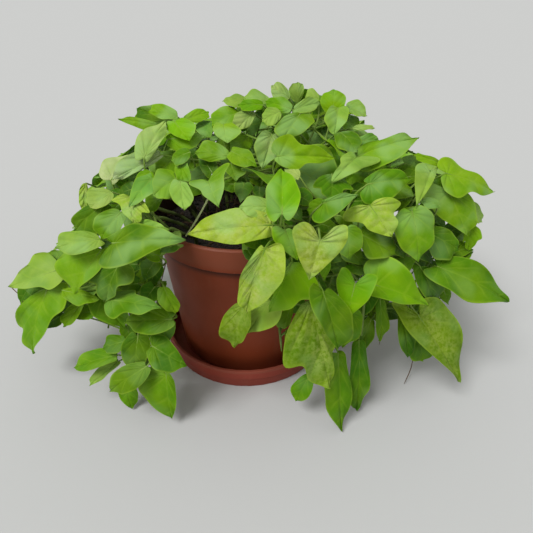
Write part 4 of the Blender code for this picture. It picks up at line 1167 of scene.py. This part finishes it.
def leaf_veins(finish):
    """How far a place of a blade is from the midrib and from a side vein, and the pattern of all veins."""
    place = finish.node("ShaderNodeUVMap", uv_map="leaf").outputs[0]
    parts = finish.node("ShaderNodeSeparateXYZ", {0: place}).outputs
    reach = finish.times(finish.math("ABSOLUTE", finish.math("SUBTRACT", parts[0], 0.5)), 2.0)
    wander = finish.math("MULTIPLY_ADD", finish.noise(70), 0.030, -0.015)
    share = finish.math("ADD", parts[1], wander)
    midrib = finish.fit(reach, 0.015, 0.07, 1.0, 0.0)
    from_vein = finish.math("PINGPONG", finish.times(share, float(SIDE_VEINS)), 0.5)
    side_vein = finish.times(finish.fit(from_vein, 0.02, 0.11, 1.0, 0.0), finish.fit(reach, 1.0, 0.5))
    branches = finish.math("MULTIPLY_ADD", reach, 3.2, finish.times(share, 9.0))
    branch = finish.times(finish.fit(finish.math("PINGPONG", branches, 0.5), 0.0, 0.12, 1.0, 0.0), 0.30)
    veins = finish.math("MAXIMUM", finish.math("MAXIMUM", midrib, side_vein), branch)
    return reach, from_vein, veins


def leaf_finish(leafy):
    """Leaf skin: each leaf's own tint, patches, sunken veins, mottling, a painted sky sheen on the upper leaves,
    and light that comes through it.
    """
    finish = Finish("leaf skin")
    tint = finish.node("ShaderNodeAttribute", attribute_name="tint").outputs
    reach, from_vein, veins = leaf_veins(finish)
    spots = finish.fit(finish.noise(190, 4.0, 0.65), 0.34, 0.62)
    mottle = finish.times(finish.times(spots, finish.fit(reach, 1.0, 0.3, 0.4, 1.0)), tint["Alpha"])
    patches = finish.fit(finish.noise(38, 2.0, 0.5), 0.30, 0.70, 0.0, 0.55)
    ripe = finish.fit(finish.noise(17), 0.42, 0.68, 0.0, 0.26)
    # Painted sheen: higher up the plant, pale cool green mixed into the leaves in patches, a painted reflection of
    # the sky
    high = finish.fit(finish.height(), 0.18, 0.33, 0.3, 1.0)
    painted_sheen = finish.times(finish.fit(finish.noise(25, 1.0), 0.46, 0.68, 0.0, 0.55), high)
    margin = finish.fit(reach, 0.90, 1.0, 0.0, 0.30)
    colour = tint["Color"]
    for share, layer, blend in [
        (mottle, leafy.mottle_colour, "MIX"),
        (patches, leafy.shade_colour, "MULTIPLY"),
        (ripe, leafy.ripe_colour, "MIX"),
        (painted_sheen, leafy.painted_sheen_colour, "MIX"),
        (finish.times(veins, 0.13), leafy.vein_colour, "MIX"),
        (margin, leafy.vein_colour, "MIX"),
    ]:
        colour = finish.mix(share, colour, layer, blend)
    net = finish.fit(finish.cells(330.0, "DISTANCE_TO_EDGE"), 0.0, 0.25)
    swell = finish.times(finish.fit(from_vein, 0.02, 0.42), finish.fit(reach, 0.0, 0.25))
    relief = finish.math("MULTIPLY_ADD", net, 0.12, finish.math("MULTIPLY_ADD", veins, -0.25, swell))
    finish.set(
        Base_Color=colour,
        Roughness=finish.fit(finish.noise(60), 0.3, 0.7, 0.44, 0.62),
        Specular_IOR_Level=0.09,
        Normal=finish.bump(relief, finish.math("MULTIPLY_ADD", tint["Alpha"], 0.60, 0.16), 0.0016),
    )
    lit = finish.mix(0.35, colour, leafy.through_colour)
    through_leaf = finish.node("ShaderNodeBsdfTranslucent", {"Color": lit}).outputs[0]
    inputs = {0: leafy.see_through, 1: finish.shader.outputs[0], 2: through_leaf}
    both = finish.node("ShaderNodeMixShader", inputs).outputs[0]
    finish.tree.links.new(both, finish.tree.nodes["Material Output"].inputs["Surface"])
    return finish.material


def stalk_finish():
    """Stem and stalk skin: its own tint with paler stretches and fine streaks."""
    finish = Finish("stem skin")
    tint = finish.node("ShaderNodeAttribute", attribute_name="tint")
    paler = finish.fit(finish.noise(45), 0.35, 0.70, 0.0, 0.6)
    colour = finish.mix(paler, tint.outputs["Color"], STALK_PALE)
    streaks = finish.noise(1.0, 3.0, 0.6, finish.stretched((600, 600, 40)))
    finish.set(
        Base_Color=colour,
        Roughness=finish.fit(streaks, 0.3, 0.7, 0.42, 0.62),
        Specular_IOR_Level=0.25,
        Normal=finish.bump(streaks, 0.25, 0.0003),
    )
    return finish.material


def clay_finish(name, colour, looks, low, high):
    """Moulded terracotta-coloured plastic: cloudy, with painted shade that darkens it towards its foot and painted
    light that makes the top of its rim paler, with dust, run marks and scratches, and darker on its inner wall
    above the soil.
    """
    finish = Finish(name)
    height = finish.height()
    clouds = finish.fit(finish.noise(14, 4.0, 0.55), 0.30, 0.72, 0.0, 0.20)
    shade = finish.mix(clouds, colour, tuple(channel * 0.62 for channel in colour))
    # Painted shade: darker towards the foot, as if the light falls from above
    foot = finish.fit(height, low, high, 0.30, 0.0)
    shade = finish.mix(foot, shade, tuple(channel * 0.55 for channel in colour))
    streaks = finish.noise(1.0, 5.0, 0.62, finish.stretched((46, 46, 3.5)))
    runs = finish.fit(streaks, 0.52, 0.74, 0.0, looks.dust)
    grit = finish.fit(finish.noise(210, 5.0, 0.7), 0.56, 0.72, 0.0, looks.dust * 0.9)
    soiled = finish.math("MAXIMUM", runs, grit)
    # Painted light: the top of the rim, or the saucer's lip, mixed paler with the dust colour, as if lit from
    # above
    painted_rim_light = finish.fit(height, high * 0.85, high * 0.90, 0.0, 0.22)
    shade = finish.mix(finish.math("MAXIMUM", soiled, painted_rim_light), shade, looks.dust_and_rim_light_colour)
    shade = finish.mix(finish.fit(finish.cells(95.0), 0.035, 0.075, 0.45, 0.0), shade, looks.dust_and_rim_light_colour)
    inputs = {0: finish.coordinates, 1: (1.0, 1.0, 0.0)}
    level = finish.node("ShaderNodeVectorMath", inputs, operation="MULTIPLY").outputs[0]
    radius = finish.node("ShaderNodeVectorMath", {0: level}, operation="LENGTH").outputs["Value"]
    # The inner wall above the soil, darkened nearly to the soil's colour
    inner_wall_dark = finish.times(finish.fit(radius, *INNER_WALL_DARK_RADII, 0.85, 0.0), finish.fit(height, *INNER_WALL_DARK_HEIGHTS))
    shade = finish.mix(inner_wall_dark, shade, SOIL_DARK)
    roughness = finish.math("ADD", finish.fit(clouds, 0.0, 0.20, 0.42, 0.52), finish.times(soiled, 0.45))
    scratches = finish.noise(1.0, 2.0, 0.5, finish.stretched((30, 30, 900)))
    grain = finish.bump(finish.noise(700, 2.0, 0.5), 0.10, 0.0003)
    relief = finish.bump(scratches, 0.05, 0.0002, grain)
    finish.set(Base_Color=shade, Roughness=roughness, Specular_IOR_Level=0.16, Normal=relief)
    return finish.material


def soil_finish():
    """Damp potting mix: nearly black and crumbly, with paler lumps."""
    finish = Finish("potting mix crumb")
    lumps = finish.noise(150, 6.0, 0.7)
    colour = finish.mix(finish.fit(lumps, 0.35, 0.75), SOIL_DARK, SOIL_PALE)
    relief = finish.math("ADD", lumps, finish.cells(240.0))
    finish.set(Base_Color=colour, Roughness=0.95, Normal=finish.bump(relief, 0.9, 0.003))
    return finish.material


def plain_finish(name, colour, roughness, scale):
    """A matt material whose colour drifts a little."""
    finish = Finish(name)
    drift = finish.fit(finish.noise(scale, 3.0, 0.6), 0.30, 0.70, 0.0, 0.5)
    darker = tuple(channel * 0.5 for channel in colour)
    finish.set(Base_Color=finish.mix(drift, colour, darker), Roughness=roughness)
    return finish.material


def dress(name, finish):
    """Give a solid that stays its finish."""
    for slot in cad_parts[name].material_slots:
        slot.material = finish


def rounded(name, finish):
    """A turned solid's copy with its flats merged, shaded as one round surface, in the solid's place."""
    bm = bmesh.new()
    bm.from_mesh(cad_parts[name].data)
    bmesh.ops.transform(bm, matrix=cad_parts[name].matrix_world, verts=bm.verts)
    bmesh.ops.remove_doubles(bm, verts=bm.verts, dist=MERGE_DISTANCE)
    bmesh.ops.dissolve_limit(bm, angle_limit=FLAT_ANGLE, verts=bm.verts, edges=bm.edges)
    for face in bm.faces:
        face.material_index = 0
    made = finish_mesh(bm, f"round_{name}", [finish], EDGE_ANGLE)
    weigh = made.modifiers.new("even shading", "WEIGHTED_NORMAL")
    weigh.keep_sharp = True
    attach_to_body(made, "root")
    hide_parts(name)


# Settings that a user would change


class FoliageSettings(PropertyGroup):
    thickness: FloatProperty(
        name="Thickness",
        description="Thickness of a leaf's blade",
        default=0.0005,
        min=0.0002,
        subtype="DISTANCE",
    )
    pucker: FloatProperty(
        name="Pucker", description="Height of the puckers, in blade lengths", default=0.008, min=0.0
    )
    frill: FloatProperty(
        name="Frill", description="Height of the margin's waves, in blade lengths", default=0.028, min=0.0
    )
    margin: FloatProperty(
        name="Margin", description="Sway of the margin in and out, in half widths", default=0.035, min=0.0
    )
    young_leaves: IntProperty(
        name="Young leaves", description="Most young leaves that each stem carries", default=5, min=0
    )
    see_through: FloatProperty(
        name="See-through", description="Share of light that comes through", default=0.22, subtype="FACTOR"
    )
    vein_colour: FloatVectorProperty(
        name="Veins", description="Colour of veins and margin", default=(0.42, 0.60, 0.045), subtype="COLOR"
    )
    mottle_colour: FloatVectorProperty(
        name="Mottling", description="Colour of the mottling", default=(0.52, 0.61, 0.150), subtype="COLOR"
    )
    ripe_colour: FloatVectorProperty(
        name="Ripe", description="Colour that a blade drifts to", default=(0.30, 0.46, 0.004), subtype="COLOR"
    )
    # Painted sheen: the pale cool green of a painted sky reflection on the upper leaves
    painted_sheen_colour: FloatVectorProperty(
        name="Painted_reflection", description="Colour of pale, cool patches", default=(0.32, 0.54, 0.17), subtype="COLOR"
    )
    shade_colour: FloatVectorProperty(
        name="Shade", description="Tint of the deeper patches", default=(0.46, 0.66, 0.30), subtype="COLOR"
    )
    through_colour: FloatVectorProperty(
        name="Lit through", description="Tint of light through", default=(0.50, 0.72, 0.04), subtype="COLOR"
    )


class PotSettings(PropertyGroup):
    pot_colour: FloatVectorProperty(
        name="Pot", description="Colour of the pot", default=(0.245, 0.046, 0.016), subtype="COLOR"
    )
    saucer_colour: FloatVectorProperty(
        name="Saucer", description="Colour of the saucer", default=(0.260, 0.045, 0.027), subtype="COLOR"
    )
    # Colour of the dust, and also of the painted light on the rim's top
    dust_and_rim_light_colour: FloatVectorProperty(
        name="Dust", description="Colour of dust and run marks", default=(0.26, 0.12, 0.075), subtype="COLOR"
    )
    dust: FloatProperty(name="Dusting", description="Share of dust", default=0.12, subtype="FACTOR")
    crumbs: IntProperty(name="Crumbs", description="Loose crumbs on the potting mix", default=260, min=0)


class StageSettings(PropertyGroup):
    key_strength: FloatProperty(name="Key light", description="Strength of the sun", default=2.5, min=0.0)
    around: FloatProperty(name="Around", description="Strength of the sky", default=0.62, min=0.0)
    floor_colour: FloatVectorProperty(
        name="Floor", description="Colour of the floor", default=(0.488, 0.490, 0.485), subtype="COLOR"
    )


# Operators


class VINE_OT_leafy_stems(Operator):
    """Grow the fine leafy stems over the solid ones"""

    bl_idname = "vine.leafy_stems"
    bl_label = "Leafy Stems"

    def execute(self, context):
        leafy = context.scene.vine_foliage
        luck = random.Random(SEED)
        vines = [Vine(number, stem, luck) for number, stem in enumerate(STEMS)]
        solids = [solid_tree(name) for name in ("saucer", "pot")]
        place_front_leaves(FRONT_LEAVES, 0, vines, solids)
        front = blade_tree(vines)
        place_side_leaves(SIDE_LEAF_STEPS, SIDE_LEAF_TRIES, SIDE_LEAF_NUMBER, (1.0, 1.0), front, vines, solids)
        place_front_leaves(SMALL_LEAVES, SMALL_LEAF_NUMBER, vines, solids)
        front = blade_tree(vines, True)
        place_gap_leaves(front, vines, solids)
        place_tip_leaves(front, vines, solids)
        for number, growth in enumerate(YOUNG_GROWTHS, YOUNG_LEAF_NUMBER):
            place_side_leaves(leafy.young_leaves, YOUNG_LEAF_TRIES, number, growth, front, vines, solids)
        finishes = [leaf_finish(leafy), stalk_finish()]
        for vine in vines:
            make_vine(vine, leafy, finishes)
        return {"FINISHED"}


class VINE_OT_pot(Operator):
    """Finish the pot"""

    bl_idname = "vine.pot"
    bl_label = "Pot"

    def execute(self, context):
        looks = context.scene.vine_pot
        rounded("pot", clay_finish("pot plastic", looks.pot_colour, looks, FOOT_SHADE_HEIGHT, POT_TOP))
        return {"FINISHED"}


class VINE_OT_saucer(Operator):
    """Finish the saucer"""

    bl_idname = "vine.saucer"
    bl_label = "Saucer"

    def execute(self, context):
        looks = context.scene.vine_pot
        rounded("saucer", clay_finish("saucer plastic", looks.saucer_colour, looks, 0.0, SAUCER_HEIGHT))
        return {"FINISHED"}


class VINE_OT_potting_mix(Operator):
    """Finish the potting mix and strew loose crumbs on it"""

    bl_idname = "vine.potting_mix"
    bl_label = "Potting Mix"

    def execute(self, context):
        dress("soil", soil_finish())
        luck = random.Random(SEED * 11)
        bm = bmesh.new()
        for index in range(context.scene.vine_pot.crumbs):
            angle = luck.uniform(0, math.tau)
            radius = SOIL_RADIUS * math.sqrt(luck.uniform(0.0, 0.94))
            size = luck.uniform(*CRUMB_RADIUS)
            spot = Vector((radius * math.cos(angle), radius * math.sin(angle), 0.0))
            spot.z = soil_height(spot.x, spot.y) + size * 0.35
            crumb = bmesh.ops.create_icosphere(bm, subdivisions=1, radius=size)["verts"]
            for vert in crumb:
                vert.co *= luck.uniform(0.65, 1.25)
                vert.co.z *= 0.7
            bmesh.ops.translate(bm, vec=spot, verts=crumb)
            pick = 2 if luck.random() < GRIT_SHARE else luck.randrange(2)
            for face in {face for vert in crumb for face in vert.link_faces}:
                face.material_index = pick
        finishes = [
            plain_finish("dark crumb", SOIL_DARK, 0.95, 300),
            plain_finish("bark crumb", SOIL_BARK, 0.9, 300),
            plain_finish("pale crumb", SOIL_GRIT, 0.85, 300),
        ]
        crumbs = finish_mesh(bm, "soil_crumbs", finishes, 0.3)
        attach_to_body(crumbs, "root")
        return {"FINISHED"}


class VINE_OT_dry_strands(Operator):
    """Lay dead stalks over the potting mix and hang a few fine dry strands"""

    bl_idname = "vine.dry_strands"
    bl_label = "Dry Strands"

    def execute(self, context):
        luck = random.Random(SEED * 13)
        bm = bmesh.new()
        bm.verts.layers.float_color.new("tint")
        for index in range(DEAD_STALKS):
            angle = luck.uniform(0, math.tau)
            radius = SOIL_RADIUS * math.sqrt(luck.uniform(0.05, 0.80))
            foot = Vector((radius * math.cos(angle), radius * math.sin(angle), SOIL_TOP - 0.004))
            lean = Vector((luck.uniform(-1, 1), luck.uniform(-1, 1), luck.uniform(0.1, 0.9))).normalized()
            reach = luck.uniform(*DEAD_STALK_LENGTH)
            middle = foot + lean * (reach * 0.5) + Vector((0, 0, luck.uniform(0.004, 0.014)))
            end = foot + lean * reach
            out = Vector((end.x, end.y)).length
            if out > SOIL_RADIUS:
                end.x *= SOIL_RADIUS / out
                end.y *= SOIL_RADIUS / out
            end.z = max(end.z, SOIL_TOP + 0.003)
            add_strand(bm, through([foot, middle, end], 4), luck.uniform(*DEAD_STALK_RADIUS))
        for face in bm.faces:
            face.material_index = 0
        for radius, finish, spots in HANGING_STRANDS:
            before = set(bm.faces)
            add_strand(bm, through([seen_point((x, y), lift) for x, y, lift in spots], 3), radius)
            for face in set(bm.faces) - before:
                face.material_index = finish
        finishes = [
            plain_finish("dry stalk", DRY_COLOUR, 0.8, 120),
            plain_finish("pale stalk", PALE_STALK_AND_LIGHT_COLOUR, 0.6, 120),
        ]
        strands = finish_mesh(bm, "dry_strands", finishes, 0.9)
        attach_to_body(strands, "root")
        return {"FINISHED"}


class VINE_OT_stage(Operator):
    """Set the floor, the lights and the camera"""

    bl_idname = "vine.stage"
    bl_label = "Stage"

    def execute(self, context):
        stage = context.scene.vine_stage
        bm = bmesh.new()
        bmesh.ops.create_grid(bm, x_segments=1, y_segments=1, size=FLOOR_HALF)
        floor = finish_mesh(bm, "floor", [plain_floor(stage.floor_colour)], 1.0)
        lamp = bpy.data.lights.new("key light", "SUN")
        lamp.energy = stage.key_strength
        lamp.angle = KEY_SOFTNESS
        item = bpy.data.objects.new("key light", lamp)
        item.rotation_euler = (-Vector(KEY_FROM)).to_track_quat("-Z", "Y").to_euler()
        context.scene.collection.objects.link(item)
        world = bpy.data.worlds.new("studio")
        world.use_nodes = True
        sky = world.node_tree.nodes["Background"]
        sky.inputs["Color"].default_value = SKY_COLOUR
        sky.inputs["Strength"].default_value = stage.around
        context.scene.world = world
        camera = bpy.data.cameras.new("front view")
        camera.sensor_width = 36.0
        camera.lens = FOCAL_PIXELS / FRAME_PIXELS * camera.sensor_width
        camera.shift_x = (FRAME_PIXELS / 2 - AXIS_PIXEL[0]) / FRAME_PIXELS
        camera.shift_y = (AXIS_PIXEL[1] - FRAME_PIXELS / 2) / FRAME_PIXELS
        eye = bpy.data.objects.new("front view", camera)
        eye.location = EYE
        eye.rotation_euler = (math.pi / 2 - VIEW_PITCH, 0.0, -VIEW_YAW)
        context.scene.collection.objects.link(eye)
        context.scene.camera = eye
        context.scene.view_settings.view_transform = "Standard"
        return {"FINISHED"}


def plain_floor(colour):
    """An even matt floor."""
    finish = Finish("floor")
    finish.set(Base_Color=(*colour[:3], 1.0), Roughness=1.0, Specular_IOR_Level=0.0)
    return finish.material


PIECES = (
    VINE_OT_potting_mix,
    VINE_OT_pot,
    VINE_OT_saucer,
    VINE_OT_leafy_stems,
    VINE_OT_dry_strands,
    VINE_OT_stage,
)
SETTINGS = {"vine_foliage": FoliageSettings, "vine_pot": PotSettings, "vine_stage": StageSettings}


class VINE_PT_panel(Panel):
    """Settings and pieces of the potted vine"""

    bl_label = "Potted Vine"
    bl_idname = "VINE_PT_panel"
    bl_space_type = "VIEW_3D"
    bl_region_type = "UI"
    bl_category = "Vine"

    def draw(self, context):
        for group, kind in SETTINGS.items():
            box = self.layout.box()
            for name in kind.__annotations__:
                box.prop(getattr(context.scene, group), name)
        for piece in PIECES:
            self.layout.operator(piece.bl_idname)


def register():
    for kind in (*SETTINGS.values(), *PIECES, VINE_PT_panel):
        bpy.utils.register_class(kind)
    for name, kind in SETTINGS.items():
        setattr(bpy.types.Scene, name, PointerProperty(type=kind))


def unregister():
    for name in SETTINGS:
        delattr(bpy.types.Scene, name)
    for kind in reversed((*SETTINGS.values(), *PIECES, VINE_PT_panel)):
        bpy.utils.unregister_class(kind)


def main():
    register()
    for piece in PIECES:
        getattr(bpy.ops.vine, piece.bl_idname.split(".")[1])()


if __name__ == "__main__":
    main()
